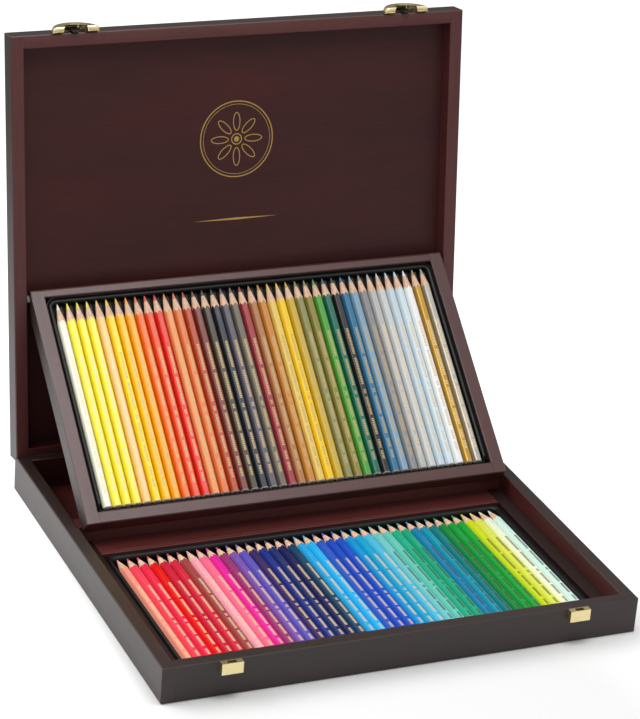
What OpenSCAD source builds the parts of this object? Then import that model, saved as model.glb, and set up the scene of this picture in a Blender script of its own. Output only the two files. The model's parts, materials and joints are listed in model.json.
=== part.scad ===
// Two-level wooden case for coloured pencils, shown standing open.
// The lid leans back on its chamfered hinge edge, and a second tray, pivoted
// between the sides of the lid, rests its underside on a bar across the base.
// Origin: centre of the underside of the base. +X right, +Y back, +Z up.

/* [Pencils] */
// Number of pencils in each row
pencil_count = 40; // [20:1:48]
// Length of a pencil from tip to blunt end
pencil_len = 175; // [140:1:190]
// Width of a pencil across its flats
pencil_flats = 6.9; // [6.2:0.1:7.6]
// Space between the corners of two neighbouring pencils
pencil_gap = 0.1; // [0.1:0.1:1.5]
// Diameter of the lead inside the wooden casing
lead_d = 2.6; // [2:0.1:3.8]
// Length of the sharpened cone, measured to the corners of the casing
cone_len = 18.5; // [14:0.5:24]
// Width of the blunted point of the lead
point_d = 0.7; // [0.4:0.1:1]

/* [Plastic inserts] */
// Thickness of the formed plastic sheet
sheet_t = 0.8; // [0.5:0.1:1.2]
// Air space between the panel and the underside of the cradles
cradle_rise = 2.8; // [2:0.1:5]
// Height of the insert up to the top of its lip
insert_h = 10.1; // [9.5:0.1:13]
// Distance from the outer edge of the insert to its lip
lip_inset = 1.8; // [1:0.1:2.5]
// Width of the raised lip
lip_t = 1; // [0.8:0.1:1.4]
// Corner radius of the lip beside the pencil points
lip_rear_r = 8; // [4:0.5:10]
// Corner radius of the lip beside the blunt ends
lip_front_r = 3; // [1.5:0.1:3]
// Free space from the outer pencils to the edge of the insert
side_margin = 4; // [3.8:0.1:8]
// Free space from the pencil points to the edge of the insert
tip_margin = 4.2; // [3.9:0.1:8]
// Free space from the blunt ends to the edge of the insert
end_margin = 3; // [2.9:0.1:8]
// Clearance round an insert in its frame
insert_fit = 0.2; // [0.1:0.1:0.6]

/* [Upper tray] */
// Width of the two side members
tray_stile_w = 10.6; // [9:0.1:16]
// Width of the member nearest the hinge of the case
tray_rear_w = 7.8; // [7:0.1:14]
// Width of the member at the lower edge
tray_front_w = 9.7; // [8:0.1:16]
// Thickness of the bottom panel
tray_panel_t = 4; // [3:0.1:5]
// How far the lip of the insert lies below the top of the frame
lip_drop = 1.4; // [1:0.1:3]
// Radius of the rounded edge beside the pivot
tray_round = 2.5; // [1.5:0.1:3]
// Seat of a panel in the members round it
panel_seat = 5; // [3:0.1:5.5]
// Free space beside the tray, at each side
tray_side_gap = 2.6; // [2.2:0.1:5]
// Free space in front of the closed tray
tray_front_gap = 1.6; // [1.5:0.1:6]
// Free space between the closed tray and the panel of the lid
tray_top_gap = 1.1; // [1:0.1:2]

/* [Tray pivot] */
// Distance of the pivot from the hinge axis of the case, along the lid
pivot_run = 128; // [124:1:140]
// Distance of the pivot from the rear end of the tray
pivot_in = 4; // [3.8:0.1:4.2]
// Distance of the pivot below the top of the tray
pivot_drop = 8; // [7.6:0.1:8.2]
// Diameter of the pivot pin
pivot_d = 3; // [2.4:0.1:3.2]
// Length of the pin in the tray
pivot_grip = 7; // [5:0.1:9]
// Length of the bush in the lid
bush_len = 6; // [4:0.1:8]
// Wall of the bush
bush_t = 0.9; // [0.6:0.1:1.1]
// Width of the spacer ring over its bore
spacer_rim = 1.4; // [1:0.1:2]
// Thickness of the spacer ring
spacer_t = 2; // [1:0.1:2.1]

/* [Case] */
// Height of the base
base_h = 29; // [28.5:0.1:45]
// Thickness of the lid
lid_h = 17; // [16.5:0.1:18]
// Thickness of the walls of base and lid
wall_t = 10.4; // [10:0.1:16]
// Thickness of the bottom panel
floor_t = 3.5; // [2.5:0.1:5]
// Thickness of the panel of the lid
lid_panel_t = 3.6; // [3.2:0.1:4]
// Joint between the rims of the closed case
rim_gap = 0.2; // [0.2:0.1:0.4]
// Opening angle of the lid, from closed to its stop
lid_open = 98; // [94:1:104]
// Width of the eased edges of the wood
arris = 0.7; // [0.3:0.1:1]

/* [Base fittings] */
// Height of the deck above the lip of the lower insert
deck_step = 1.4; // [0.5:0.1:3]
// Thickness of the deck panel
deck_t = 5; // [3:0.1:8]
// Thickness of the strip in front of the deck panel
strip_t = 3; // [2:0.1:6]
// Play of the lower insert, at each side
recess_fit = 1.6; // [0.3:0.1:3]
// Distance of the rest bar behind the closed tray
bar_gap = 3.3; // [2.5:0.1:8]
// Thickness of the rest bar
bar_t = 14; // [8:0.5:24]
// Distance from the top of the rest bar to the rim
bar_drop = 1.3; // [0.8:0.1:3]
// Clearance under the tray where it rests on the bar
rest_gap = 0.3; // [0.2:0.1:0.5]

/* [Hinges] */
// Distance of the hinge axis from the rear face
hinge_inset = 4; // [3.6:0.1:4.4]
// Distance of each hinge from the middle of the case
hinge_x = 110; // [60:1:130]
// Number of knuckles on each hinge
knuckle_count = 5; // [3:2:7]
// Length of one knuckle
knuckle_len = 8; // [6:0.1:10]
// Outer diameter of the knuckles
knuckle_d = 4.6; // [4.2:0.1:5]
// Diameter of the hinge pin
hinge_pin_d = 2; // [1.6:0.1:2.4]
// Thickness of a leaf
leaf_t = 1; // [0.8:0.1:1.2]
// Clearance of the open chamfers, which act as the stop
stop_gap = 0.3; // [0.2:0.1:0.5]

/* [Latches] */
// Distance of each latch from the middle of the case
latch_x = 138; // [90:1:145]
// Radius of the half-moon lever
latch_r = 18.5; // [17.5:0.1:18.9]
// How far the lever stands out from the wood
latch_proud = 6.2; // [6:0.1:7]
// How far the lever reaches below the rim of the lid
latch_overlap = 2.4; // [1.5:0.1:3]
// Radius of the arch in the lever, round the strike
arch_r = 9.3; // [8.9:0.1:9.6]
// Radius of the lever's rolled edge
roll_r = 3.2; // [3:0.1:3.4]
// Clearance between the lever's edge and the wood
latch_edge_gap = 0.8; // [0.7:0.1:0.9]
// Distance of the latch pin from the top of the lever
latch_pin_down = 4.6; // [4.5:0.1:5]
// Distance of the latch pin from the wood
latch_pin_out = 2.9; // [2.8:0.1:3]
// Diameter of the latch pin
latch_pin_d = 1.6; // [1.2:0.1:1.6]
// Swing of the lever when it is lifted, in degrees
latch_swing = 8; // [4:1:8]
// Width of the steel hook
hook_w = 5.6; // [4:0.1:6]
// How far the hook reaches below the lower edge of the lever
hook_reach = 1.3; // [0.5:0.1:2]

/* [Strikes] */
// Width of the strike
strike_w = 16.4; // [15:0.1:16.8]
// Height of the strike
strike_h = 9; // [7:0.1:12]
// How far the strike stands out from the wood
strike_proud = 5; // [5:0.1:6]
// Distance from the top of the strike to the rim of the base
strike_drop = 0.4; // [0.2:0.1:1]
// Width of the slot for the hook
slot_w = 6.8; // [6.8:0.1:8]
// Thickness of the brass sheet
brass_t = 0.8; // [0.7:0.1:0.8]

/* [Screws and nails] */
// Shank diameter of the hinge screws
screw_d = 1.6; // [1.2:0.1:1.8]
// Head diameter of the hinge screws
screw_head_d = 2.8; // [2.4:0.1:3]
// Length of the hinge screws
screw_len = 9; // [6:0.5:12]
// Shank diameter of the nails in strikes and latch plates
nail_d = 1.2; // [1:0.1:1.4]
// Head diameter of the nails
nail_head_d = 2.4; // [2:0.1:2.6]
// Height of the nail heads
nail_head_h = 0.5; // [0.3:0.1:0.6]
// Length of the nails under the head
nail_len = 7; // [4:0.5:8]

/* [Hidden] */
$fn = 64;

wood = "#43282a";
wood_edge = "#5c3b3c";
plastic = "#1c1c1d";
brass = "#dcc57c";
steel = "#34363a";

// Running clearance of a pin that turns, and of a pin that is pressed in.
run_fit = 0.05;
press_fit = 0.02;
// Overlap that keeps a cut clear of the face it opens through.
cut = 1;

// Paints of the pencils, from left to right.
UPPER_PAINTS = [
    "ivory", "khaki", "yellow", "gold", "navajowhite", "gold", "orange", "orange",
    "darkorange", "orangered", "orangered", "tomato", "coral", "sienna", "saddlebrown",
    "#2a1c18", "#20242e", "#5a5560", "#7a7068", "brown", "peru", "goldenrod",
    "burlywood", "darkgoldenrod", "olive", "darkkhaki", "#6b5a28", "forestgreen",
    "darkgreen", "#15171a", "steelblue", "lightsteelblue", "gray", "darkgray",
    "lightgray", "gainsboro", "ghostwhite", "white", "#a68a4a", "silver"
];
LOWER_PAINTS = [
    "lightsalmon", "lightcoral", "crimson", "red", "crimson", "firebrick",
    "rosybrown", "lightpink", "hotpink", "mediumvioletred", "mediumorchid",
    "mediumpurple", "slateblue", "darkslateblue", "midnightblue", "slategray",
    "navy", "midnightblue", "deepskyblue", "skyblue", "cornflowerblue", "royalblue",
    "blue", "mediumblue", "dodgerblue", "deepskyblue", "turquoise", "paleturquoise",
    "aquamarine", "mediumseagreen", "mediumaquamarine", "steelblue", "teal", "seagreen",
    "green", "limegreen", "yellowgreen", "khaki", "beige", "honeydew"
];

// Pencils and inserts.
pencil_corners = pencil_flats / cos(30);
pencil_pitch = pencil_corners + pencil_gap;
row_w = (pencil_count - 1) * pencil_pitch + pencil_corners;
lead_r = lead_d / 2;
cone_slope = (pencil_corners - point_d) / 2 / cone_len;
lead_tip_len = (lead_r - point_d / 2) / cone_slope;
insert_w = row_w + 2 * side_margin;
insert_l = tip_margin + pencil_len + end_margin;
pencil_axis_z = cradle_rise + sheet_t + pencil_flats / 2;
ridge_z = pencil_axis_z - pencil_flats / 4;
flange_top = insert_h - 2 * sheet_t;

// Upper tray, drawn level, with the origin on its pivot axis.
opening_w = insert_w + 2 * insert_fit;
opening_l = insert_l + 2 * insert_fit;
tray_w = opening_w + 2 * tray_stile_w;
tray_l = tray_rear_w + opening_l + tray_front_w;
tray_t = tray_panel_t + insert_h + lip_drop;
tray_top = pivot_drop;
tray_bottom = pivot_drop - tray_t;
tray_rear = pivot_in;
tray_front = pivot_in - tray_l;
opening_front = tray_front + tray_front_w;

// Case. The base follows from the tray that shuts away in it.
inner_w = tray_w + 2 * tray_side_gap;
case_w = inner_w + 2 * wall_t;
case_d = hinge_inset + pivot_run - tray_front + tray_front_gap + wall_t;
inner_d = case_d - 2 * wall_t;
front_y = -case_d / 2;
back_y = case_d / 2;
inner_front = front_y + wall_t;
inner_back = back_y - wall_t;
lid_z = base_h + rim_gap;
lid_top = lid_z + lid_h;
lid_panel_z = lid_top - lid_panel_t;
hinge_y = back_y - hinge_inset;
hinge_z = base_h + rim_gap / 2;

// Pivot of the tray in the closed lid.
pivot_y = hinge_y - pivot_run;
pivot_z = lid_panel_z - tray_top_gap - pivot_drop;

// Interior of the base.
deck_z = floor_t + insert_h + deck_step;
recess_w = insert_w + 2 * recess_fit;
ledge_w = (inner_w - recess_w) / 2;
recess_back = inner_front + insert_l + 2 * insert_fit;
bar_front = pivot_y + tray_rear + bar_gap;
bar_top = base_h - bar_drop;

// Tilt of the open tray: its underside passes rest_gap above the front top
// edge of the rest bar, while its pivot is carried by the open lid.
function turned(v, a) = [v[0] * cos(a) - v[1] * sin(a), v[0] * sin(a) + v[1] * cos(a)];
open_pivot = [hinge_y, hinge_z] + turned([pivot_y - hinge_y, pivot_z - hinge_z], -lid_open);
to_pivot = open_pivot - [bar_front, bar_top];
tray_tilt = atan2(to_pivot[1], to_pivot[0]) - asin((rest_gap - tray_bottom) / norm(to_pivot));

// Hinges and latches.
hinge_len = knuckle_count * knuckle_len;
knuckle_gap = 0.2;
hinge_clear = 0.3;
leaf_w = hinge_y - inner_back;
hinge_screw_y = inner_back + (leaf_w - knuckle_d / 2 - hinge_clear) / 2;
latch_z = lid_z - latch_overlap;
latch_pin_up = latch_r - latch_pin_down;
latch_pin_z = latch_z + latch_pin_up;
latch_pin_y = front_y - latch_pin_out;
lug_in = 5;
lug_t = 1.2;
lug_half = latch_pin_d / 2 + 0.9;
ear_in = lug_in + lug_t + 0.3;
ear_t = 0.9;
ear_half = latch_pin_d / 2 + 0.4;
latch_pin_len = 2 * (ear_in + ear_t + 0.1);
hook_neck = latch_pin_up - lug_half;
plate_r = latch_r - 1.7;
plate_w = 2 * (ear_in + ear_t + nail_head_d) + 0.4;
plate_low = arch_r + 0.3;
plate_nail_x = ear_in + ear_t + nail_head_d / 2;
plate_nail_up = plate_low + 1.6;
hook_out = brass_t + 0.2;
strike_top = base_h - strike_drop;
strike_nail_z = strike_top - strike_h + brass_t + nail_head_d / 2 + 0.5;

echo(case_w = case_w, case_d = case_d, closed_height = lid_top);
echo(tray_w = tray_w, tray_l = tray_l, tray_t = tray_t, tray_tilt = tray_tilt);
echo(hinge_y = hinge_y, hinge_z = hinge_z, open_pivot = open_pivot);
echo(tray_ratio = -(lid_open + tray_tilt) / lid_open);
echo(latch_pin = [latch_pin_y, latch_pin_z], bar_front = bar_front, bar_top = bar_top);
echo(recess_back = recess_back, deck_z = deck_z, recess_w = recess_w, inner_w = inner_w);

// ---------------------------------------------------------------- helpers

// Box between two opposite corners.
module block(low, high) {
    translate(low) cube(high - low);
}

// Flat shape drawn in the YZ plane, as thick as x_high - x_low.
module across(x_low, x_high) {
    translate([x_low, 0, 0]) rotate([90, 0, 90]) linear_extrude(x_high - x_low) children();
}

// Rod along X.
module rod(x_low, x_high, r, y, z) {
    translate([x_low, y, z]) rotate([0, 90, 0]) cylinder(r = r, h = x_high - x_low);
}

// Places what is drawn on the closed lid where the open lid has it.
module in_lid() {
    translate([0, hinge_y, hinge_z])
        rotate([-lid_open, 0, 0])
            translate([0, -hinge_y, -hinge_z])
                children();
}

// Places what is drawn round the tray's pivot where the open case has it.
module in_tray() {
    in_lid()
        translate([0, pivot_y, pivot_z])
            rotate([lid_open + tray_tilt, 0, 0])
                children();
}

// Rectangle round the origin with its corners cut off.
module eased_rect(w, h) {
    x = w / 2;
    y = h / 2;
    polygon([
        [-x + arris, -y], [x - arris, -y], [x, -y + arris], [x, y - arris],
        [x - arris, y], [-x + arris, y], [-x, y - arris], [-x, -y + arris]
    ]);
}

// Box between two opposite corners, with all its edges eased.
module eased_block(low, high) {
    size = high - low;
    translate((low + high) / 2) intersection() {
        linear_extrude(size[2], center = true) eased_rect(size[0], size[1]);
        rotate([90, 0, 0]) linear_extrude(size[1], center = true) eased_rect(size[0], size[2]);
        rotate([90, 0, 90]) linear_extrude(size[0], center = true) eased_rect(size[1], size[2]);
    }
}

// Wedge profile of an eased mouth: as wide as the opening below the top at
// height 0, and wider by the arris on either side at the top.
module mouth_profile(low, high) {
    far = arris + cut;
    polygon([[low, -arris], [high, -arris], [high + far, cut], [low - far, cut]]);
}

// Eased mouth of a rectangular opening, its top at height 0.
module mouth(low, high) {
    intersection() {
        across(-case_w, case_w) mouth_profile(low[1], high[1]);
        rotate([90, 0, 0]) linear_extrude(2 * case_d, center = true) mouth_profile(low[0], high[0]);
    }
}

// Both sides of the case.
module both_sides(x) {
    for (side = [-1, 1]) translate([side * x, 0, 0]) children();
}

// Wedge that is cut from the hinge edge of the base, below the rim. The
// mirrored cut on the lid meets it at the stop.
module stop_wedge() {
    slope = lid_open / 2;
    drop = stop_gap / 2 / cos(slope);
    reach = hinge_inset + cut;
    across(-case_w / 2 - cut, case_w / 2 + cut)
        polygon([
            [hinge_y, hinge_z - drop],
            [hinge_y + reach, hinge_z - drop - reach * tan(slope)],
            [hinge_y + reach, hinge_z + cut],
            [hinge_y, hinge_z + cut]
        ]);
}

// The same wedge turned over, for the lid.
module lid_stop_wedge() {
    translate([0, 0, 2 * hinge_z]) mirror([0, 0, 1]) stop_wedge();
}

// ---------------------------------------------------------------- pencils

// One wooden casing along +Y, from its blunt end, with the bore for its lead.
module pencil_casing() {
    body_len = pencil_len - lead_tip_len;
    envelope_r = pencil_corners;
    envelope_len = pencil_len - (envelope_r - point_d / 2) / cone_slope;
    rotate([-90, 0, 0]) difference() {
        intersection() {
            cylinder(d = pencil_corners, h = body_len, $fn = 6);
            rotate_extrude() polygon([
                [0, -cut],
                [envelope_r, -cut],
                [envelope_r, envelope_len],
                [lead_r, body_len],
                [0, body_len]
            ]);
        }
        translate([0, 0, -cut]) cylinder(r = lead_r + press_fit, h = pencil_len);
    }
}

// The lead of one pencil, with its conical point.
module pencil_lead() {
    rotate([-90, 0, 0]) rotate_extrude() polygon([
        [0, 0],
        [lead_r, 0],
        [lead_r, pencil_len - lead_tip_len],
        [point_d / 2, pencil_len],
        [0, pencil_len]
    ]);
}

// A row of pencils in its insert, each in its own paint.
module pencil_row(paints) {
    for (i = [0 : pencil_count - 1])
        translate([(i - (pencil_count - 1) / 2) * pencil_pitch, end_margin, pencil_axis_z])
            color(paints[i % len(paints)]) children();
}

// Rounded outline of the lip, moved inwards from its outer face by a depth.
module lip_outline(depth) {
    front_r = lip_front_r - depth;
    rear_r = lip_rear_r - depth;
    x = insert_w / 2 - lip_inset - depth;
    low = lip_inset + depth;
    high = insert_l - low;
    both_sides(x - front_r) translate([0, low + front_r]) circle(r = front_r);
    both_sides(x - rear_r) translate([0, high - rear_r]) circle(r = rear_r);
    translate([-x, low + front_r]) square([2 * x, high - low - front_r - rear_r]);
    translate([front_r - x, low]) square([2 * (x - front_r), front_r]);
    translate([rear_r - x, high - rear_r]) square([2 * (x - rear_r), rear_r]);
}

// Section of the cradles: a hexagon's lower half under each pencil.
function cradle_points(i, lift) =
    let (x = (i - (pencil_count - 1) / 2) * pencil_pitch, foot = pencil_corners / 4)
    [
        [x - pencil_pitch / 2, ridge_z + lift],
        [x - foot, pencil_axis_z - pencil_flats / 2 + lift],
        [x + foot, pencil_axis_z - pencil_flats / 2 + lift]
    ];

// Formed sheet with one cradle for each pencil.
module cradles() {
    last = pencil_count - 1;
    half = pencil_pitch / 2;
    edge = (insert_w / 2 - lip_inset - lip_t / 2);
    upper = [for (i = [0 : last]) each cradle_points(i, 0)];
    lower = [for (i = [last : -1 : 0]) let (p = cradle_points(i, -sheet_t)) each [p[2], p[1], p[0]]];
    row_edge = last / 2 * pencil_pitch + half;
    start = [[-edge, ridge_z - sheet_t], [-edge, ridge_z]];
    end = [[row_edge, ridge_z], [edge, ridge_z], [edge, ridge_z - sheet_t], [row_edge, ridge_z - sheet_t]];
    y_low = lip_inset + lip_t / 2;
    translate([0, insert_l - y_low, 0])
        rotate([90, 0, 0])
            linear_extrude(insert_l - 2 * y_low)
                polygon(concat(start, upper, end, lower));
}

// Black formed insert: cradles inside a raised lip, and a flange round it.
module insert() {
    color(plastic) {
        linear_extrude(insert_h) difference() {
            lip_outline(0);
            lip_outline(lip_t);
        }
        translate([0, 0, flange_top - sheet_t]) linear_extrude(sheet_t) difference() {
            translate([-insert_w / 2, 0]) square([insert_w, insert_l]);
            lip_outline(lip_t / 2);
        }
        intersection() {
            cradles();
            linear_extrude(insert_h) lip_outline(lip_t / 2);
        }
    }
}

module in_base_recess() {
    translate([0, inner_front + insert_fit, floor_t]) children();
}

module in_tray_recess() {
    in_tray() translate([0, opening_front + insert_fit, tray_bottom + tray_panel_t]) children();
}

// ---------------------------------------------------------------- base

module floor_shape() {
    block(
        [-inner_w / 2 - panel_seat, inner_front - panel_seat, 0],
        [inner_w / 2 + panel_seat, inner_back + panel_seat, floor_t]
    );
}

module base_floor_panel() {
    color(wood) floor_shape();
}

// The four walls before they are parted.
module base_frame() {
    difference() {
        eased_block([-case_w / 2, front_y, 0], [case_w / 2, back_y, base_h]);
        translate([0, 0, base_h]) mouth([-inner_w / 2, inner_front], [inner_w / 2, inner_back]);
        floor_shape();
        stop_wedge();
    }
}

module base_front_wall() {
    color(wood) difference() {
        intersection() {
            base_frame();
            block([-inner_w / 2, front_y, 0], [inner_w / 2, inner_front, base_h]);
        }
        strike_nail_set();
    }
}

module base_back_wall() {
    color(wood) difference() {
        intersection() {
            base_frame();
            block([-inner_w / 2, inner_back, 0], [inner_w / 2, back_y, base_h]);
        }
        both_sides(hinge_x) hinge_mortise();
        both_sides(hinge_x) screws(0);
    }
}

module base_side_wall(side) {
    color(wood) intersection() {
        base_frame();
        translate([side * (inner_w + wall_t) / 2, 0, 0])
            block([-wall_t / 2, front_y, 0], [wall_t / 2, back_y, base_h]);
    }
}

module ledge(side) {
    color(wood) translate([side * (recess_w + ledge_w) / 2, 0, 0])
        block([-ledge_w / 2, inner_front, floor_t], [ledge_w / 2, bar_front, deck_z]);
}

module rest_bar() {
    color(wood) block([-inner_w / 2, bar_front, floor_t], [inner_w / 2, bar_front + bar_t, bar_top]);
}

module deck_front_strip() {
    color(wood_edge)
        block([-recess_w / 2, recess_back, floor_t], [recess_w / 2, recess_back + strip_t, deck_z]);
}

module deck_panel() {
    color(wood)
        block([-recess_w / 2, recess_back + strip_t, deck_z - deck_t], [recess_w / 2, bar_front, deck_z]);
}

// ---------------------------------------------------------------- hinges

// Pocket for one leaf and its knuckles in the rim of the base.
module hinge_mortise() {
    half = hinge_len / 2 + knuckle_gap;
    rod(-half, half, knuckle_d / 2 + hinge_clear, hinge_y, hinge_z);
    block([-half, inner_back - cut, base_h - leaf_t], [half, hinge_y, base_h + cut]);
}

// The same pocket turned over, for the lid.
module lid_hinge_mortise() {
    translate([0, 0, 2 * hinge_z]) mirror([0, 0, 1]) hinge_mortise();
}

// Countersunk screws of one leaf, point down. The heads lie flush with it.
module screws(fit) {
    head_h = (screw_head_d - screw_d) / 2;
    for (x = [-1, 1] * (hinge_len / 2 - knuckle_len / 2))
        translate([x, hinge_screw_y, base_h]) rotate([180, 0, 0]) rotate_extrude() polygon([
            [0, 0],
            [screw_head_d / 2 + fit, 0],
            [screw_d / 2 + fit, head_h],
            [screw_d / 2 + fit, screw_len - screw_d],
            [0, screw_len]
        ]);
}

// One leaf. Parity 0 has the outer knuckles, parity 1 those between them.
module leaf(parity, bore_fit) {
    side_gap = knuckle_gap / 2;
    difference() {
        union() {
            block([-hinge_len / 2, inner_back, base_h - leaf_t], [hinge_len / 2, hinge_y, base_h]);
            for (i = [0 : knuckle_count - 1]) if (i % 2 == parity)
                rod(
                    -hinge_len / 2 + i * knuckle_len + side_gap,
                    -hinge_len / 2 + (i + 1) * knuckle_len - side_gap,
                    knuckle_d / 2, hinge_y, hinge_z
                );
        }
        for (i = [0 : knuckle_count - 1]) if (i % 2 != parity)
            rod(
                -hinge_len / 2 + i * knuckle_len - side_gap,
                -hinge_len / 2 + (i + 1) * knuckle_len + side_gap,
                knuckle_d / 2 + hinge_clear, hinge_y, hinge_z
            );
        rod(-hinge_len, hinge_len, hinge_pin_d / 2 + bore_fit, hinge_y, hinge_z);
        screws(press_fit);
    }
}

module base_leaf(side) {
    color(brass) translate([side * hinge_x, 0, 0]) leaf(0, press_fit);
}

module lid_leaf(side) {
    color(brass) in_lid() translate([side * hinge_x, 0, 2 * hinge_z]) mirror([0, 0, 1]) leaf(1, run_fit);
}

module hinge_pin(side) {
    color(brass) translate([side * hinge_x, 0, 0])
        rod(-hinge_len / 2, hinge_len / 2, hinge_pin_d / 2, hinge_y, hinge_z);
}

module base_hinge_screws() {
    color(brass) both_sides(hinge_x) screws(0);
}

module lid_hinge_screws() {
    color(brass) in_lid() lid_screw_shapes();
}

module lid_screw_shapes() {
    translate([0, 0, 2 * hinge_z]) mirror([0, 0, 1]) both_sides(hinge_x) screws(0);
}

// ---------------------------------------------------------------- strikes

// Brass box on the front of the base, open at the slot for the hook.
module strike(side) {
    half = strike_w / 2;
    back = front_y - brass_t;
    nose = front_y - strike_proud;
    low = strike_top - strike_h;
    color(brass) translate([side * latch_x, 0, 0]) difference() {
        block([-half, nose, low], [half, front_y, strike_top]);
        block([-half + brass_t, nose + brass_t, low + brass_t], [half - brass_t, back, strike_top - brass_t]);
        block([-slot_w / 2, nose + brass_t, strike_top - 2 * brass_t], [slot_w / 2, back, strike_top + cut]);
        translate([-side * latch_x, 0, 0]) strike_nail_set();
    }
}

// One nail driven towards +Y, its head against a sheet of brass.
module nail() {
    rotate([-90, 0, 0]) {
        cylinder(d = nail_d, h = nail_len);
        translate([0, 0, -nail_head_h]) cylinder(d = nail_head_d, h = nail_head_h);
    }
}

module strike_nail_set() {
    both_sides(latch_x) both_sides(strike_w / 4)
        translate([0, front_y - brass_t, strike_nail_z]) nail();
}

module strike_nails() {
    color(brass) strike_nail_set();
}

// ---------------------------------------------------------------- lid

module lid_panel_shape() {
    block(
        [-inner_w / 2 - panel_seat, inner_front - panel_seat, lid_panel_z],
        [inner_w / 2 + panel_seat, inner_back + panel_seat, lid_top]
    );
}

module lid_panel() {
    color(wood) in_lid() lid_panel_shape();
}

// The four members of the lid before they are parted.
module lid_frame() {
    difference() {
        eased_block([-case_w / 2, front_y, lid_z], [case_w / 2, back_y, lid_top]);
        translate([0, 0, lid_z]) mirror([0, 0, 1])
            mouth([-inner_w / 2, inner_front], [inner_w / 2, inner_back]);
        lid_panel_shape();
        lid_stop_wedge();
    }
}

module lid_front_rail() {
    color(wood_edge) in_lid() difference() {
        intersection() {
            lid_frame();
            block([-inner_w / 2, front_y, lid_z], [inner_w / 2, inner_front, lid_top]);
        }
        plate_nail_set();
    }
}

module lid_back_rail() {
    color(wood_edge) in_lid() difference() {
        intersection() {
            lid_frame();
            block([-inner_w / 2, inner_back, lid_z], [inner_w / 2, back_y, lid_top]);
        }
        both_sides(hinge_x) lid_hinge_mortise();
        lid_screw_shapes();
    }
}

module lid_stile(side) {
    color(wood_edge) in_lid() difference() {
        intersection() {
            lid_frame();
            translate([side * (inner_w + wall_t) / 2, 0, 0])
                block([-wall_t / 2, front_y, lid_z], [wall_t / 2, back_y, lid_top]);
        }
        side_rod(side, inner_w / 2 - cut, inner_w / 2 + bush_len, pivot_d / 2 + run_fit + bush_t);
    }
}

// Rod on the pivot axis of the closed case, between two distances from the
// middle, on the given side.
module side_rod(side, x_near, x_far, r) {
    low = side > 0 ? x_near : -x_far;
    rod(low, low + x_far - x_near, r, pivot_y, pivot_z);
}

module pivot_bush(side) {
    color(brass) in_lid() difference() {
        side_rod(side, inner_w / 2, inner_w / 2 + bush_len, pivot_d / 2 + run_fit + bush_t);
        side_rod(side, inner_w / 2 - cut, inner_w / 2 + bush_len - bush_t, pivot_d / 2 + run_fit);
    }
}

// ---------------------------------------------------------------- tray

// Side view of the tray frame, with the round edge that turns past the lid.
module tray_profile() {
    translate([tray_front, tray_bottom]) square([tray_l, tray_t - tray_round]);
    translate([tray_front, tray_top - tray_round]) square([tray_l - tray_round, tray_round]);
    translate([tray_rear - tray_round, tray_top - tray_round]) circle(r = tray_round);
}

module tray_panel_shape() {
    block(
        [-opening_w / 2 - panel_seat, opening_front - panel_seat, tray_bottom],
        [opening_w / 2 + panel_seat, tray_rear - tray_rear_w + panel_seat, tray_bottom + tray_panel_t]
    );
}

module tray_panel() {
    color(wood) in_tray() tray_panel_shape();
}

// The four members of the tray before they are parted.
module tray_frame() {
    difference() {
        intersection() {
            eased_block([-tray_w / 2, tray_front, tray_bottom], [tray_w / 2, tray_rear, tray_top]);
            across(-tray_w / 2, tray_w / 2) tray_profile();
        }
        translate([0, 0, tray_top])
            mouth([-opening_w / 2, opening_front], [opening_w / 2, opening_front + opening_l]);
        tray_panel_shape();
    }
}

module tray_stile(side) {
    color(wood_edge) in_tray() difference() {
        intersection() {
            tray_frame();
            translate([side * (opening_w + tray_stile_w) / 2, 0, 0]) block(
                [-tray_stile_w / 2, tray_front, tray_bottom],
                [tray_stile_w / 2, tray_rear, tray_top]
            );
        }
        tray_rod(side, tray_w / 2 - pivot_grip, tray_w / 2 + cut, pivot_d / 2);
    }
}

// Member between the stiles, from one distance to another along the tray.
module tray_rail(y_low, y_high) {
    color(wood_edge) in_tray() intersection() {
        tray_frame();
        block([-opening_w / 2, y_low, tray_bottom], [opening_w / 2, y_high, tray_top]);
    }
}

// Rod on the tray's own axis, between two distances from the middle.
module tray_rod(side, x_near, x_far, r) {
    low = side > 0 ? x_near : -x_far;
    rod(low, low + x_far - x_near, r, 0, 0);
}

module pivot_pin(side) {
    color(brass) in_tray()
        tray_rod(side, tray_w / 2 - pivot_grip, inner_w / 2 + bush_len - bush_t - hinge_clear, pivot_d / 2);
}

module pivot_spacer(side) {
    color("#c9c6ba") in_tray() difference() {
        tray_rod(side, tray_w / 2, tray_w / 2 + spacer_t, pivot_d / 2 + spacer_rim);
        tray_rod(side, tray_w / 2 - cut, tray_w / 2 + spacer_t + cut, pivot_d / 2 + press_fit);
    }
}

// ---------------------------------------------------------------- latches

// Places what is drawn round the middle of a lever's lower edge, with +X
// along the rim, +Y up the front of the lid and +Z out of it.
module on_latch(side) {
    in_lid() translate([side * latch_x, front_y, latch_z]) rotate([90, 0, 0]) children();
}

// Section of the lever's dome, from its middle to its rolled edge.
module dome_section(t) {
    r = roll_r - t;
    x = latch_r - roll_r;
    z = latch_proud - 0.6 - roll_r;
    polygon(concat(
        [[0, latch_edge_gap], [latch_r - t, latch_edge_gap], [latch_r - t, z]],
        [for (a = [15 : 15 : 75]) [x + r * cos(a), z + r * sin(a)]],
        [[x, z + r], [0, latch_proud - t]]
    ));
}

module half_disc(r, z_low, z_high) {
    intersection() {
        translate([0, 0, z_low]) cylinder(r = r, h = z_high - z_low);
        block([-r, 0, z_low], [r, r, z_high]);
    }
}

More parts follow.
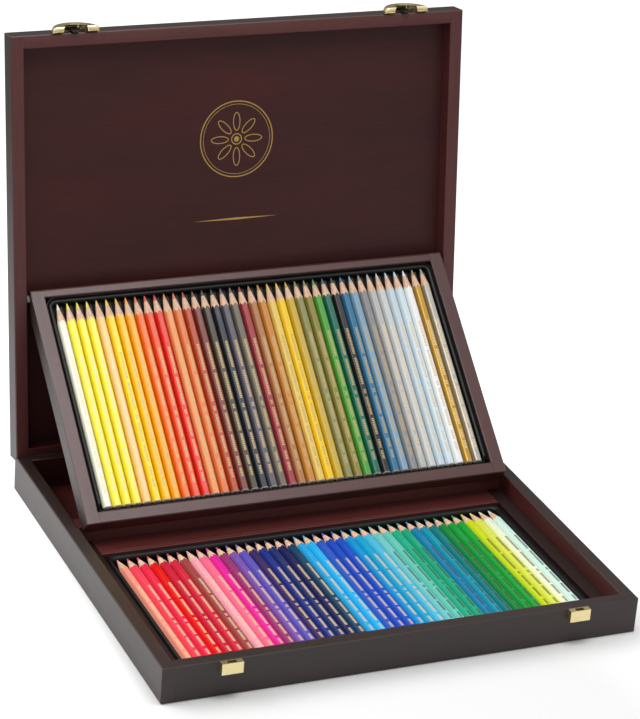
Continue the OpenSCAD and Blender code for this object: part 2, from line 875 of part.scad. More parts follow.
module latch_lever(side) {
    color(brass) on_latch(side) difference() {
        union() {
            intersection() {
                difference() {
                    rotate_extrude() dome_section(0);
                    translate([0, 0, -0.01]) rotate_extrude() dome_section(brass_t);
                }
                half_disc(latch_r, 0, latch_proud);
            }
            intersection() {
                rotate_extrude() dome_section(brass_t / 2);
                both_sides(lug_in + lug_t / 2) block(
                    [-lug_t / 2, hook_neck, hook_out + brass_t],
                    [lug_t / 2, latch_pin_up + lug_half, latch_proud]
                );
            }
        }
        translate([0, 0, -cut]) cylinder(r = arch_r, h = latch_proud + 2 * cut);
        rod(-ear_in, ear_in, latch_pin_d / 2 + run_fit, latch_pin_up, latch_pin_out);
    }
}

// Steel hook inside the lever: a wide head against the lugs, a tongue below.
module latch_hook(side) {
    head = lug_in + lug_t;
    color(steel) on_latch(side) {
        block([-head, hook_neck, hook_out], [head, latch_pin_up + latch_pin_d / 2, hook_out + brass_t]);
        block([-hook_w / 2, -hook_reach, hook_out], [hook_w / 2, hook_neck, hook_out + brass_t]);
    }
}

// Fixed plate under the lever, with the ears that hold the pin.
module latch_plate(side) {
    color(brass) on_latch(side) difference() {
        union() {
            intersection() {
                half_disc(plate_r, 0, brass_t);
                block([-plate_w / 2, plate_low, 0], [plate_w / 2, plate_r, brass_t]);
            }
            both_sides(ear_in + ear_t / 2) {
                block(
                    [-ear_t / 2, latch_pin_up - ear_half, 0],
                    [ear_t / 2, latch_pin_up + ear_half, latch_pin_out]
                );
                rod(-ear_t / 2, ear_t / 2, ear_half, latch_pin_up, latch_pin_out);
            }
        }
        rod(-latch_r, latch_r, latch_pin_d / 2 + press_fit, latch_pin_up, latch_pin_out);
        both_sides(plate_nail_x) translate([0, plate_nail_up, brass_t]) rotate([-90, 0, 0]) nail();
    }
}

module latch_pin(side) {
    color(brass) on_latch(side)
        rod(-latch_pin_len / 2, latch_pin_len / 2, latch_pin_d / 2, latch_pin_up, latch_pin_out);
}

module plate_nail_set() {
    both_sides(latch_x) both_sides(plate_nail_x)
        translate([0, front_y - brass_t, latch_z + plate_nail_up]) nail();
}

module latch_plate_nails() {
    color(brass) in_lid() plate_nail_set();
}

// ---------------------------------------------------------------- nodes

base_front_wall();
base_back_wall();
base_side_wall(-1);  // base_left_wall
base_side_wall(1);  // base_right_wall
base_floor_panel();
ledge(-1);  // left_ledge
ledge(1);  // right_ledge
rest_bar();
deck_panel();
deck_front_strip();
in_base_recess() insert();  // lower_insert
in_base_recess() pencil_row(LOWER_PAINTS) pencil_casing();  // lower_pencil_casings
in_base_recess() pencil_row(LOWER_PAINTS) pencil_lead();  // lower_pencil_leads
strike(-1);  // left_strike
strike(1);  // right_strike
strike_nails();
base_leaf(-1);  // left_hinge_base_leaf
base_leaf(1);  // right_hinge_base_leaf
hinge_pin(-1);  // left_hinge_pin
hinge_pin(1);  // right_hinge_pin
base_hinge_screws();
lid_front_rail();
lid_back_rail();
lid_stile(-1);  // lid_left_stile
lid_stile(1);  // lid_right_stile
lid_panel();
lid_leaf(-1);  // left_hinge_lid_leaf
lid_leaf(1);  // right_hinge_lid_leaf
lid_hinge_screws();
latch_plate(-1);  // left_latch_plate
latch_plate(1);  // right_latch_plate
latch_pin(-1);  // left_latch_pin
latch_pin(1);  // right_latch_pin
latch_plate_nails();
pivot_bush(-1);  // left_pivot_bush
pivot_bush(1);  // right_pivot_bush
tray_rail(tray_rear - tray_rear_w, tray_rear);  // tray_rear_rail
tray_rail(tray_front, opening_front);  // tray_front_rail
tray_stile(-1);  // tray_left_stile
tray_stile(1);  // tray_right_stile
tray_panel();
in_tray_recess() insert();  // upper_insert
in_tray_recess() pencil_row(UPPER_PAINTS) pencil_casing();  // upper_pencil_casings
in_tray_recess() pencil_row(UPPER_PAINTS) pencil_lead();  // upper_pencil_leads
pivot_pin(-1);  // left_pivot_pin
pivot_pin(1);  // right_pivot_pin
pivot_spacer(-1);  // left_pivot_spacer
pivot_spacer(1);  // right_pivot_spacer
latch_lever(-1);  // left_latch_lever
latch_hook(-1);  // left_latch_hook
latch_lever(1);  // right_latch_lever
latch_hook(1);  // right_latch_hook
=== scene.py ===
# %% [markdown]
# # A wooden pencil case in two levels
#
# This lesson dresses a measured model of a hinged wooden case that stands open. A shallow base holds
# forty coloured pencils, and a tray with forty more swings between the sides of the lid. The measured
# parts come in as a fixed frame in metres. Each step below says what a piece or a finish is on the real
# case, how it could be made in Blender, and why one way was chosen.

# %% Load the measured frame
import json
import math

import bpy
from mathutils import Matrix, Vector


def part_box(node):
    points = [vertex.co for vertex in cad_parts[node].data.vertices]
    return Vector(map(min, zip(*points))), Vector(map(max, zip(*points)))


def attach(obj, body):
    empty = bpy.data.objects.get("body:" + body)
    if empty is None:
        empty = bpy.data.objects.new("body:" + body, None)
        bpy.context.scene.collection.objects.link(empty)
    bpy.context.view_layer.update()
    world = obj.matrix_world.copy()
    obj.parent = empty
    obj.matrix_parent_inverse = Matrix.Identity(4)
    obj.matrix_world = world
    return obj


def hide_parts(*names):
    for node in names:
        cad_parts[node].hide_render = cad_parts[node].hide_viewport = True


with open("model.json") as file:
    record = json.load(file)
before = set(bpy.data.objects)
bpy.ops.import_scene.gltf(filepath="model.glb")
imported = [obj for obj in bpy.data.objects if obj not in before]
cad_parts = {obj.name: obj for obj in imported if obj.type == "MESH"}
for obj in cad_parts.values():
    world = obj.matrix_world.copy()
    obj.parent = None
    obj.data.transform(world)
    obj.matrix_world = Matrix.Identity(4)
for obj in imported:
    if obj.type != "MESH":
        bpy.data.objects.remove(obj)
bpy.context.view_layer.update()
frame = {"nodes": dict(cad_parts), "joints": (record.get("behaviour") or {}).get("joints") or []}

nodes = frame["nodes"]
MM = 0.001

# %% [markdown]
# ## Where the moving parts stand
#
# The lid has turned all the way back about the hinge, and the tray hangs between its sides at a tilt of
# its own. A piece for the lid or the tray is easiest to draw with that part lying flat, so each part
# gets a matrix that carries a flat drawing, in millimetres, to where the part stands. The joints of the
# measured model give the point that each part turns about, and how far it turns from here until the
# case is shut.

# %% Matrices from a flat drawing to each part
joints = {joint["name"]: joint for joint in frame["joints"]}


def pivot_mm(joint):
    """The point that a joint turns about, in millimetres."""
    return Vector([metres / MM for metres in joints[joint]["pos_m"]])


def box_mm(node):
    """Lowest and highest corner of a measured part, in millimetres to a hundredth."""
    return [[round(metres / MM, 2) for metres in corner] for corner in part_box(node)]


LID_TURN = joints["lid_hinge"]["range_deg"][1]
TRAY_TURN = -joints["tray_pivot"]["range_deg"][0]
LID_OPEN = math.radians(LID_TURN)
TRAY_TILT = math.radians(TRAY_TURN - LID_TURN)
HINGE_LINE, TRAY_PIVOT = pivot_mm("lid_hinge"), pivot_mm("tray_pivot")
CASE_FRONT = box_mm("base_front_wall")[0][1]
CLOSED_HEIGHT = 46.2

on_base = Matrix.Scale(MM, 4)
on_lid = (on_base @ Matrix.Translation(HINGE_LINE) @ Matrix.Rotation(-LID_OPEN, 4, "X")
          @ Matrix.Translation(-HINGE_LINE))
on_tray = on_base @ Matrix.Translation(TRAY_PIVOT) @ Matrix.Rotation(TRAY_TILT, 4, "X")
print("lid open, degrees:", LID_TURN, "tray tilted:", round(math.degrees(TRAY_TILT), 4))
print("top edge of the lid, mm:",
      [round(v / MM, 1) for v in on_lid @ Vector((0, CASE_FRONT, CLOSED_HEIGHT))])

# %% [markdown]
# ## Small tools for modelling
#
# An operator acts on everything that is selected, and the measured parts come in selected. So each
# step starts by letting go of everything, and then picks faces or edges by where they are or which way
# they face, as a hand would with a mouse. What repeats is modelled once, as a master, and copied.

# %% Selecting by place and direction
NEAR = 0.1  # how far past an edge a selection reaches, mm


def let_go():
    """Leaves edit mode and deselects every object."""
    if bpy.context.object and bpy.context.object.mode != "OBJECT":
        bpy.ops.object.mode_set(mode="OBJECT")
    bpy.ops.object.select_all(action="DESELECT")


def take_up(piece):
    """Selects one piece alone."""
    let_go()
    piece.select_set(True)
    bpy.context.view_layer.objects.active = piece


def newest(name):
    """Names the object that an operator has just added."""
    piece = bpy.context.object
    piece.name = piece.data.name = name
    return piece


def pick(piece, faces=None, edges=None, verts=None):
    """Enters edit mode with only the faces, edges or vertices for which the given test is true."""
    bpy.ops.object.mode_set(mode="OBJECT")
    bpy.context.view_layer.objects.active = piece
    bpy.ops.object.mode_set(mode="EDIT")
    kind = "FACE" if faces else "EDGE" if edges else "VERT"
    bpy.ops.mesh.select_mode(type=kind)
    bpy.ops.mesh.select_all(action="DESELECT")
    bpy.ops.object.mode_set(mode="OBJECT")
    mesh = piece.data
    if faces:
        for face in mesh.polygons:
            face.select = bool(faces(face))
    elif edges:
        for edge in mesh.edges:
            start, end = (mesh.vertices[i].co for i in edge.vertices)
            edge.select = bool(edges(start, end))
    else:
        for vert in mesh.vertices:
            vert.select = bool(verts(vert.co))
    bpy.ops.object.mode_set(mode="EDIT")


def pick_all(piece):
    """Enters edit mode with every face selected."""
    pick(piece, faces=lambda face: True)


print("a selection reaches past an edge by, mm:", NEAR)

# %% [markdown]
# A finished piece has its place written into its mesh, so that its object can stay at the origin as the
# measured parts do. Its modifiers are applied, and its round surfaces are shaded as round.

# %% Finishing and copying a piece
def settle(piece, matrix):
    """Writes a piece's place into its mesh, so that its object stays at the origin."""
    let_go()
    piece.data.transform(matrix @ piece.matrix_basis)
    piece.matrix_basis = Matrix.Identity(4)


def apply_all(piece):
    """Applies a piece's modifiers, in their order."""
    take_up(piece)
    for modifier in list(piece.modifiers):
        bpy.ops.object.modifier_apply(modifier=modifier.name)


def smooth(piece, degrees):
    """Shades round surfaces as round, and leaves edges sharper than the angle crisp."""
    take_up(piece)
    bpy.ops.object.shade_smooth_by_angle(angle=math.radians(degrees))


def copy_of(master, name):
    """A copy of a master with a mesh of its own."""
    copy = master.copy()
    copy.data = master.data.copy()
    copy.name = copy.data.name = name
    bpy.context.collection.objects.link(copy)
    return copy


# %% [markdown]
# ## The camera
#
# The photographer stood a little to the left of the case and looked down on it through a long lens, so
# the far edge of the lid is hardly smaller than the near edge of the base. The place, the turn and the
# focal length below were worked out from the corners of the case. The frame is taller than wide, and
# the case sits slightly high and left of the lens axis, which the small shift takes up.

# %% Camera
FRAME_WIDE, FRAME_HIGH = 640, 719
LENS_AXIS_PX = (370.0, 410.0)
FOCAL_PX = 2979.1
CAMERA_PLACE = (-0.853264, -1.838425, 1.096836)
AZIMUTH, ELEVATION, ROLL = (math.radians(degrees) for degrees in (-25.7942, 25.4958, 5.0994))

let_go()
bpy.ops.object.camera_add()
camera = bpy.context.object
camera.name = "camera"
camera.matrix_world = (Matrix.Translation(CAMERA_PLACE) @ Matrix.Rotation(AZIMUTH, 4, "Z")
                       @ Matrix.Rotation(math.pi / 2 - ELEVATION, 4, "X")
                       @ Matrix.Rotation(ROLL, 4, "Z"))
camera.data.sensor_width = 36
camera.data.lens = FOCAL_PX * camera.data.sensor_width / FRAME_HIGH
camera.data.shift_x = (FRAME_WIDE / 2 - LENS_AXIS_PX[0]) / FRAME_HIGH
camera.data.shift_y = (LENS_AXIS_PX[1] - FRAME_HIGH / 2) / FRAME_HIGH
camera.data.clip_start, camera.data.clip_end = 0.05, 30
bpy.context.scene.camera = camera
print("lens in mm:", round(camera.data.lens, 1))

# %% [markdown]
# ## One way to build every material
#
# A material is a small tree of nodes. Colours are written as hex values, as a paint chart gives them,
# and turned to the linear values that light is reckoned in. One function adds a node, with its settings
# and the wires that lead into it.

# %% Colours and nodes
def linear(colour):
    """Linear red, green, blue and alpha of a hex colour."""
    parts = [int(colour[i:i + 2], 16) / 255 for i in (1, 3, 5)]
    return tuple(c / 12.92 if c <= 0.04045 else ((c + 0.055) / 1.055) ** 2.4 for c in parts) + (1.0,)


def shade(colour, share):
    """A linear colour with a share of its light, more than one for a paler tone."""
    return tuple(min(1, c * share) for c in colour[:3]) + (1.0,)


def socket_of(value):
    """The first output of a node. Anything else is given back as it is."""
    return value.outputs[0] if isinstance(value, bpy.types.Node) else value


def add_node(material, kind, inputs=None, **settings):
    """Adds a node. An input is given by name or number, and takes a value, a node or its output."""
    tree = material.node_tree
    node = tree.nodes.new(kind)
    for name, value in settings.items():
        setattr(node, name, value)
    for name, value in (inputs or {}).items():
        value = socket_of(value)
        if isinstance(value, bpy.types.NodeSocket):
            tree.links.new(value, node.inputs[name])
        else:
            node.inputs[name].default_value = value
    return node


def wire(material, source, shader, socket):
    """Leads a node or one of its outputs into a socket of the shader."""
    material.node_tree.links.new(socket_of(source), shader.inputs[socket])


print("mid grey in linear light:", round(linear("#808080")[0], 3))

# %% [markdown]
# A real finish is never quite even. A pattern of noise swings it between two tones and between two
# roughnesses, and lifts it a little. Most of a noise lies between 0.3 and 0.7, so a roughness that
# should use its whole range is spread over that stretch.

# %% Finishes
MOST_OF_A_NOISE = (0.3, 0.7)


def new_material(name, **shader_values):
    """A material with only its output and one Principled shader, whose plain values are given."""
    material = bpy.data.materials.new(name)
    material.use_nodes = True
    shader = material.node_tree.nodes["Principled BSDF"]
    for key, value in shader_values.items():
        shader.inputs[key.replace("_", " ")].default_value = value
    return material, shader


def fine_pattern(material, size, **noise):
    """Noise that lies on a piece by its own coordinates, with spots of the given size in metres."""
    own = add_node(material, "ShaderNodeTexCoord").outputs["Object"]
    scaled = add_node(material, "ShaderNodeMapping", {"Vector": own, "Scale": size},
                      vector_type="TEXTURE")
    return add_node(material, "ShaderNodeTexNoise", {"Vector": scaled, "Scale": 1.0, **noise})


def vary(material, shader, pattern, tones, roughness, span=(0.0, 1.0), relief=None, blend=None,
         height=None):
    """Swings a finish between two tones and two roughnesses by a pattern, with a relief.

    The span is the stretch of the pattern over which the roughness changes, and the relief is its
    strength and its depth in metres. The tones follow the blend, and the relief follows the height,
    where they aren't the pattern itself.
    """
    tone = add_node(material, "ShaderNodeMix",
                    {"Factor": blend or pattern, 6: tones[0], 7: tones[1]}, data_type="RGBA")
    wire(material, tone.outputs[2], shader, "Base Color")
    gloss = add_node(material, "ShaderNodeMapRange",
                     {"Value": pattern, "From Min": span[0], "From Max": span[1],
                      "To Min": roughness[0], "To Max": roughness[1]})
    wire(material, gloss, shader, "Roughness")
    if relief:
        strength, depth = relief
        bump = add_node(material, "ShaderNodeBump",
                        {"Height": height or pattern, "Strength": strength, "Distance": depth})
        wire(material, bump, shader, "Normal")


def dress(piece, *materials):
    """Gives a piece its materials, one to a slot, adding slots where the mesh has too few."""
    while len(piece.material_slots) < len(materials):
        piece.data.materials.append(None)
    for slot, material in zip(piece.material_slots, materials):
        slot.material = material


print("roughness is spread over this stretch of a noise:", MOST_OF_A_NOISE)

# %% [markdown]
# ## Stained wood
#
# The frames are a close-grained hardwood such as beech, stained and then sealed with satin lacquer. The
# outside is almost black, the inside and the tray are a deep red mahogany. The eye gets the stain where
# it looks straight into the wood, a grey veil where the lacquer mirrors the pale room at a low angle,
# and fine streaks that run along each piece. Grain could be painted on, but a noise stretched along the
# member costs nothing and never repeats. A Mapping node of the Texture kind moves and turns each part
# back to lie flat, and a second one divides by a real size, the length and width of a streak, so one
# recipe serves the base, the leaning lid and the tilted tray.

# %% Flat coordinates and grain
STREAK = (0.060, 0.0010)
PORE = (0.008, 0.0005)
CLOUD = (0.150, 0.045)
PARTS = {"base": (on_base, 0.0), "lid": (on_lid, -LID_OPEN), "tray": (on_tray, TRAY_TILT)}


def laid_flat(material, part):
    """Coordinates of a part in metres, as if it still lay flat."""
    matrix, turn = PARTS[part]
    own = add_node(material, "ShaderNodeTexCoord").outputs["Object"]
    return add_node(material, "ShaderNodeMapping",
                    {"Vector": own, "Location": matrix @ Vector((0, 0, 0)), "Rotation": (turn, 0, 0)},
                    vector_type="TEXTURE")


def grain(material, flat, size, along, shift, **noise):
    """Noise in streaks of the given length and width in metres, along x or y of a part laid flat."""
    length, width = size
    scale = (length, width, width) if along == "x" else (width, length, width)
    stretched = add_node(material, "ShaderNodeMapping",
                         {"Vector": flat, "Scale": scale, "Location": shift}, vector_type="TEXTURE")
    return add_node(material, "ShaderNodeTexNoise", {"Vector": stretched, "Scale": 1.0, **noise})


print("length and width of a streak, mm:", [round(v / MM, 2) for v in STREAK])

# %% [markdown]
# The maker stained the two trays red before the outside went dark, so the change of colour follows the
# shape: red within the walls and on the face of the lid that meets the base, dark outside. The sides of
# the upper tray, which face the lid, are dark too. Comparing the flat coordinates with the inner size of
# the case gives those borders exactly.

# %% Where the red stain lies
INNER_HALF_WIDTH, INNER_HALF_DEPTH = 179.0 * MM, 160.0 * MM
LID_FACE, LID_OUTSIDE = 29.6 * MM, 43.2 * MM
TRAY_FACE = 175.6 * MM


def nearer_than(wood, distance, limit):
    """One where a distance, to either side, is less than the limit, and zero elsewhere."""
    either_way = add_node(wood, "ShaderNodeMath", {0: distance}, operation="ABSOLUTE")
    return add_node(wood, "ShaderNodeMath", {0: either_way, 1: limit}, operation="LESS_THAN")


def red_zone(wood, flat, part):
    """One where the wood is stained red and zero where it is dark."""
    axis = add_node(wood, "ShaderNodeSeparateXYZ", {"Vector": flat}).outputs
    if part == "tray":
        return nearer_than(wood, axis["X"], TRAY_FACE)
    across = nearer_than(wood, axis["X"], INNER_HALF_WIDTH)
    deep = nearer_than(wood, axis["Y"], INNER_HALF_DEPTH)
    inside = add_node(wood, "ShaderNodeMath", {0: across, 1: deep}, operation="MULTIPLY")
    if part == "base":
        return inside
    under, meeting_face = (
        add_node(wood, "ShaderNodeMath", {0: axis["Z"], 1: height}, operation="LESS_THAN")
        for height in (LID_OUTSIDE, LID_FACE))
    recess = add_node(wood, "ShaderNodeMath", {0: inside, 1: under}, operation="MULTIPLY")
    return add_node(wood, "ShaderNodeMath", {0: recess, 1: meeting_face}, operation="MAXIMUM")


print("red stain ends at, mm from the middle:", round(INNER_HALF_WIDTH / MM, 1), "case, ",
      round(TRAY_FACE / MM, 1), "tray")

# %% [markdown]
# Stain sinks into the pores and leaves them darker. Under it, streaks and wider clouds of grain mix a
# darker and a lighter tone of the same colour.

# %% Wood recipe
DARK_STAIN = ("#221815", "#2e211d")
PORE_STAIN, PORE_SHARE = "#140c0b", 0.30
BOARD_STEP = (0.037, 0.0131, 0.0173)
GRAIN_RELIEF = (0.15, 0.00008)


def stained_wood(name, part, along, board, stain, roughness, gloss):
    """Stained and lacquered wood whose grain runs along x or y of the part as it lies flat."""
    wood, shader = new_material(name, IOR=1.5, Specular_IOR_Level=gloss)
    flat = laid_flat(wood, part)
    shift = tuple(step * board for step in BOARD_STEP)
    streaks = grain(wood, flat, STREAK, along, shift, Detail=5.0, Roughness=0.62, Distortion=0.2)
    clouds = grain(wood, flat, CLOUD, along, shift, Detail=2.0, Roughness=0.5)
    pores = grain(wood, flat, PORE, along, shift, Detail=1.0, Roughness=0.4)
    pore_mask = add_node(wood, "ShaderNodeMapRange",
                         {"Value": pores, "From Min": 0.60, "From Max": 0.72})
    both = add_node(wood, "ShaderNodeMath", {0: streaks, 1: clouds}, operation="ADD")
    spread = add_node(wood, "ShaderNodeMapRange", {"Value": both, "From Min": 0.72, "From Max": 1.28})
    dark_tone, red_tone = (
        add_node(wood, "ShaderNodeMix", {"Factor": spread, 6: linear(deep), 7: linear(pale)},
                 data_type="RGBA").outputs[2]
        for deep, pale in (DARK_STAIN, stain))
    tone = add_node(wood, "ShaderNodeMix",
                    {"Factor": red_zone(wood, flat, part), 6: dark_tone, 7: red_tone},
                    data_type="RGBA").outputs[2]
    vary(wood, shader, streaks, (tone, linear(PORE_STAIN)), (roughness - 0.03, roughness + 0.05),
         MOST_OF_A_NOISE, GRAIN_RELIEF,
         blend=add_node(wood, "ShaderNodeMath", {0: pore_mask, 1: PORE_SHARE}, operation="MULTIPLY"),
         height=add_node(wood, "ShaderNodeMath", {0: streaks, 1: pore_mask}, operation="SUBTRACT"))
    return wood


print("dark stain:", DARK_STAIN)

# %% [markdown]
# Every member is cut from its own board, so each gets its own stretch of grain. The rails run across
# the case and the stiles from front to back. Panels and ledges are matt, because their lacquer is thin.
# The edges of every member are eased by a fraction of a millimetre with sandpaper, and a small Bevel
# modifier on the measured part gives the light something to catch there. The measured mesh is loose
# triangles, so a Weld modifier joins them first.

# %% Dress the wooden members
MEMBERS = {
    ("base", "x"): ["base_front_wall", "base_back_wall", "rest_bar", "deck_panel", "deck_front_strip",
                    "base_floor_panel"],
    ("base", "y"): ["base_left_wall", "base_right_wall", "left_ledge", "right_ledge"],
    ("lid", "x"): ["lid_front_rail", "lid_back_rail", "lid_panel"],
    ("lid", "y"): ["lid_left_stile", "lid_right_stile"],
    ("tray", "x"): ["tray_rear_rail", "tray_front_rail", "tray_panel"],
    ("tray", "y"): ["tray_left_stile", "tray_right_stile"],
}
RED_STAIN = {"base": ("#401b19", "#532421"), "lid": ("#471f1d", "#562927"),
             "tray": ("#3f211e", "#4c2826")}
DECK = ("deck_panel", "deck_front_strip", "rest_bar", "base_floor_panel")
PANELS = ("lid_panel", "tray_panel")
LEDGES = ("left_ledge", "right_ledge")
OWN_STAIN = {**dict.fromkeys(DECK, ("#4c201d", "#602a26")),
             **dict.fromkeys(PANELS, ("#351a1a", "#441e1d")),
             **dict.fromkeys(LEDGES, ("#1e1211", "#291817"))}
SATIN, MATT = (0.38, 0.5), (0.45, 0.22)
EASED, EASED_OVER = 0.35 * MM, math.radians(40)
WELD_GAP = 0.00001

boards = [(name, part, along) for (part, along), names in MEMBERS.items() for name in names]
for board, (name, part, along) in enumerate(boards, start=1):
    roughness, gloss = MATT if name in PANELS + LEDGES else SATIN
    dress(nodes[name], stained_wood(f"stained hardwood, {name.replace('_', ' ')}", part, along, board,
                                    OWN_STAIN.get(name, RED_STAIN[part]), roughness, gloss))
    weld = nodes[name].modifiers.new("join triangles", "WELD")
    weld.merge_threshold = WELD_GAP
    ease = nodes[name].modifiers.new("eased edges", "BEVEL")
    ease.width, ease.segments, ease.angle_limit = EASED, 2, EASED_OVER
    ease.limit_method, ease.use_clamp_overlap = "ANGLE", True
print("wooden members:", len(boards))

# %% [markdown]
# ## Brass and steel
#
# Strikes, latches and hinges are pressed from thin sheet brass and polished, with a clear lacquer that
# keeps them pale. Polishing leaves fine lines, seen as a slight change of gloss. The plates of the
# latches, with their nails and pins, are rougher, and their brass is darkened as painted shade for the
# shadow inside the lever. The hooks inside are blued spring steel.

# %% Metals
POLISH_LINE = 6 * MM
WORN_METAL = 0.86
METAL_RELIEF = (0.08, 0.00003)


def polished_metal(name, colour, roughness, line_width):
    """Metal with fine lines of polish along x."""
    metal, shader = new_material(name, Metallic=1.0)
    lines = fine_pattern(metal, (POLISH_LINE, line_width, line_width), Detail=3.0, Roughness=0.6)
    clean = linear(colour)
    vary(metal, shader, lines, (clean, shade(clean, WORN_METAL)), (roughness - 0.04, roughness + 0.06),
         MOST_OF_A_NOISE, METAL_RELIEF)
    return metal


brass = polished_metal("polished lacquered brass", "#f2e0aa", 0.28, 0.25 * MM)
# The dark colour of this brass is painted shade inside the arch of the lever.
plate_brass_painted_shade = polished_metal("brass of the latch plates, darkened as painted shade", "#86774e", 0.42, 0.25 * MM)
steel = polished_metal("blued spring steel", "#3c3d42", 0.38, 0.3 * MM)
BRASS_ENDINGS = ("_strike", "_nails", "_leaf", "_hinge_pin", "_screws", "_plate", "_latch_pin",
                 "_bush", "_pivot_pin", "_lever")
brass_parts = [name for name in nodes if name.endswith(BRASS_ENDINGS)]
for name in brass_parts:
    dress(nodes[name], plate_brass_painted_shade if "latch_p" in name else brass)
for name in ("left_latch_hook", "right_latch_hook"):
    dress(nodes[name], steel)
print("brass parts:", len(brass_parts))

# %% [markdown]
# The levers are drawn from sheet into a half-moon dome, and the straight edge of the dome is rolled
# inward on both sides of the arch. A box with one corner rounded off, its other top edge moved inward
# and a rounded front gives the roll on one side, and a Mirror modifier gives the other. It turns with
# the lever.

# %% Rolled lips of the latch levers
LATCH_X = joints["right_latch_turn"]["pos_m"][0] / MM
LATCH_Z = 26.8
LIP_INNER, LIP_OUTER = 9.7, 18.3
LIP_FRONT, LIP_BACK = -0.6, 1.6
LIP_BOTTOM, LIP_TOP = 0.9, 5.6
ARCH_SLOPE, SHOULDER, LIP_ROLL = 1.2, 3.0, 1.4

let_go()
bpy.ops.mesh.primitive_cube_add(size=1)
lip = newest("lip_master")
lip.data.transform(
    Matrix.Translation(((LIP_INNER + LIP_OUTER) / 2, (LIP_FRONT + LIP_BACK) / 2, (LIP_BOTTOM + LIP_TOP) / 2))
    @ Matrix.Diagonal((LIP_OUTER - LIP_INNER, LIP_BACK - LIP_FRONT, LIP_TOP - LIP_BOTTOM, 1)))
pick(lip, edges=lambda a, b: min(a.x, b.x) > LIP_OUTER - NEAR and min(a.z, b.z) > LIP_TOP - NEAR)
bpy.ops.mesh.bevel(offset=SHOULDER, segments=5, affect="EDGES")
pick(lip, verts=lambda v: v.x < LIP_INNER + NEAR and v.z > LIP_TOP - NEAR)
bpy.ops.transform.translate(value=(-ARCH_SLOPE, 0, 0))
pick(lip, edges=lambda a, b: max(a.y, b.y) < LIP_FRONT + NEAR)
bpy.ops.mesh.bevel(offset=LIP_ROLL, segments=5, affect="EDGES")
bpy.ops.object.mode_set(mode="OBJECT")
lip.modifiers.new("other side of the arch", "MIRROR")
apply_all(lip)
smooth(lip, 40)
for side, x in (("left", -LATCH_X), ("right", LATCH_X)):
    copy = copy_of(lip, f"{side}_latch_lip")
    settle(copy, on_lid @ Matrix.Translation((x, CASE_FRONT, LATCH_Z))
           @ Matrix.Rotation(math.radians(90), 4, "X"))
    dress(copy, brass)
    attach(copy, f"{side}_latch")
bpy.data.objects.remove(lip)

# %% [markdown]
# ## Black formed plastic
#
# Each row of pencils lies in an insert of thin black polystyrene, drawn by vacuum over a mould. The
# sheet stays glossy, and it shrinks a little unevenly as it cools, which makes its reflections swim.
# A low, wide bump gives that waviness, and where the waves rise the colour is made paler, as a painted
# sheen on their crests. The washers of the tray are a grey nylon, moulded and smooth.

# %% Plastics
# Paler colour where the waves rise: a painted sheen on their crests.
PAINTED_SHEEN_ON_CRESTS = 1.25
WAVE_STRENGTH = 0.3


def moulded_plastic(name, colour, roughness, wave_length, wave_depth):
    """Plastic with low, wide waves, painted paler on their crests as a sheen."""
    plastic, shader = new_material(name, IOR=1.5, Specular_IOR_Level=0.3)
    waves = fine_pattern(plastic, (wave_length,) * 3, Detail=2.0, Roughness=0.5)
    trough = linear(colour)
    vary(plastic, shader, waves, (trough, shade(trough, PAINTED_SHEEN_ON_CRESTS)), (roughness - 0.03, roughness + 0.05),
         MOST_OF_A_NOISE, (WAVE_STRENGTH, wave_depth))
    return plastic


black_sheet = moulded_plastic("vacuum-formed black polystyrene", "#080809", 0.40, 9 * MM, 0.0003)
washer_plastic = moulded_plastic("grey nylon washer", "#8f8c84", 0.45, 2 * MM, 0.0001)
washers = ("left_pivot_spacer", "right_pivot_spacer")
for name in washers:
    dress(nodes[name], washer_plastic)
print("nylon washers:", len(washers))

# %% [markdown]
# ## The formed insert
#
# The sheet was sucked down over a mould, so all its corners are round and its rim is one soft roll that
# runs all the way round. A swept profile would give that too, but a row of small insets, each moved up
# or down a little, draws the roll on any outline and keeps its corners round. The insert is drawn from
# its front edge at y 0 to its rear edge, with its underside at z 0. A round corner is a bevelled vertex.

# %% Outline of the rim
insert_low, insert_high = box_mm("lower_insert")
INSERT_W, INSERT_L = insert_high[0] - insert_low[0], insert_high[1] - insert_low[1]
EDGE_Z, SHEET, RIM_EDGE = 9.6, 0.5, 0.1
REAR_CORNER, FRONT_CORNER = 8.0, 6.0


def flat_sheet(name, half_width, front, rear, height):
    """A flat rectangle in millimetres."""
    let_go()
    bpy.ops.mesh.primitive_plane_add(size=1)
    sheet = newest(name)
    sheet.data.transform(Matrix.Translation((0, (front + rear) / 2, height))
                         @ Matrix.Diagonal((2 * half_width, rear - front, 1, 1)))
    return sheet


insert = flat_sheet("insert_master", INSERT_W / 2 - RIM_EDGE, RIM_EDGE, INSERT_L - RIM_EDGE, EDGE_Z)
pick(insert, verts=lambda v: v.y > INSERT_L / 2)
bpy.ops.mesh.bevel(offset=REAR_CORNER, segments=7, affect="VERTICES")
pick(insert, verts=lambda v: v.y < RIM_EDGE + NEAR)
bpy.ops.mesh.bevel(offset=FRONT_CORNER, segments=5, affect="VERTICES")
bpy.ops.object.mode_set(mode="OBJECT")
print("insert, mm:", round(INSERT_W, 2), "x", round(INSERT_L, 2),
      "corners of the rim:", len(insert.data.vertices))

# %% [markdown]
# The edge of the sheet stands up against the wood, a narrow gutter follows, and then the rounded rim.
# Each pair below is how far one inset goes inward and how far it goes up.

# %% Gutter and roll of the rim
GUTTER = [(0.25, 0.0), (0.35, -0.9), (0.55, -0.5)]
ROLL = [(0.35, 0.75), (0.45, 0.65), (0.60, 0.40), (0.65, 0.05), (0.60, -0.25), (0.50, -0.70),
        (0.35, -1.50), (0.15, -3.20)]
pick_all(insert)
for inward, upward in GUTTER + ROLL:
    bpy.ops.mesh.inset(thickness=inward, depth=upward)
bpy.ops.mesh.delete(type="ONLY_FACE")
bpy.ops.object.mode_set(mode="OBJECT")
print("rim and flange, mm:", [round(v, 1) for v in insert.dimensions])

# %% [markdown]
# At the front the rim is narrower and lower, so that the blunt ends of the pencils can be pushed up with
# a thumb. A cut a little way back gives the rim somewhere to start its dip.

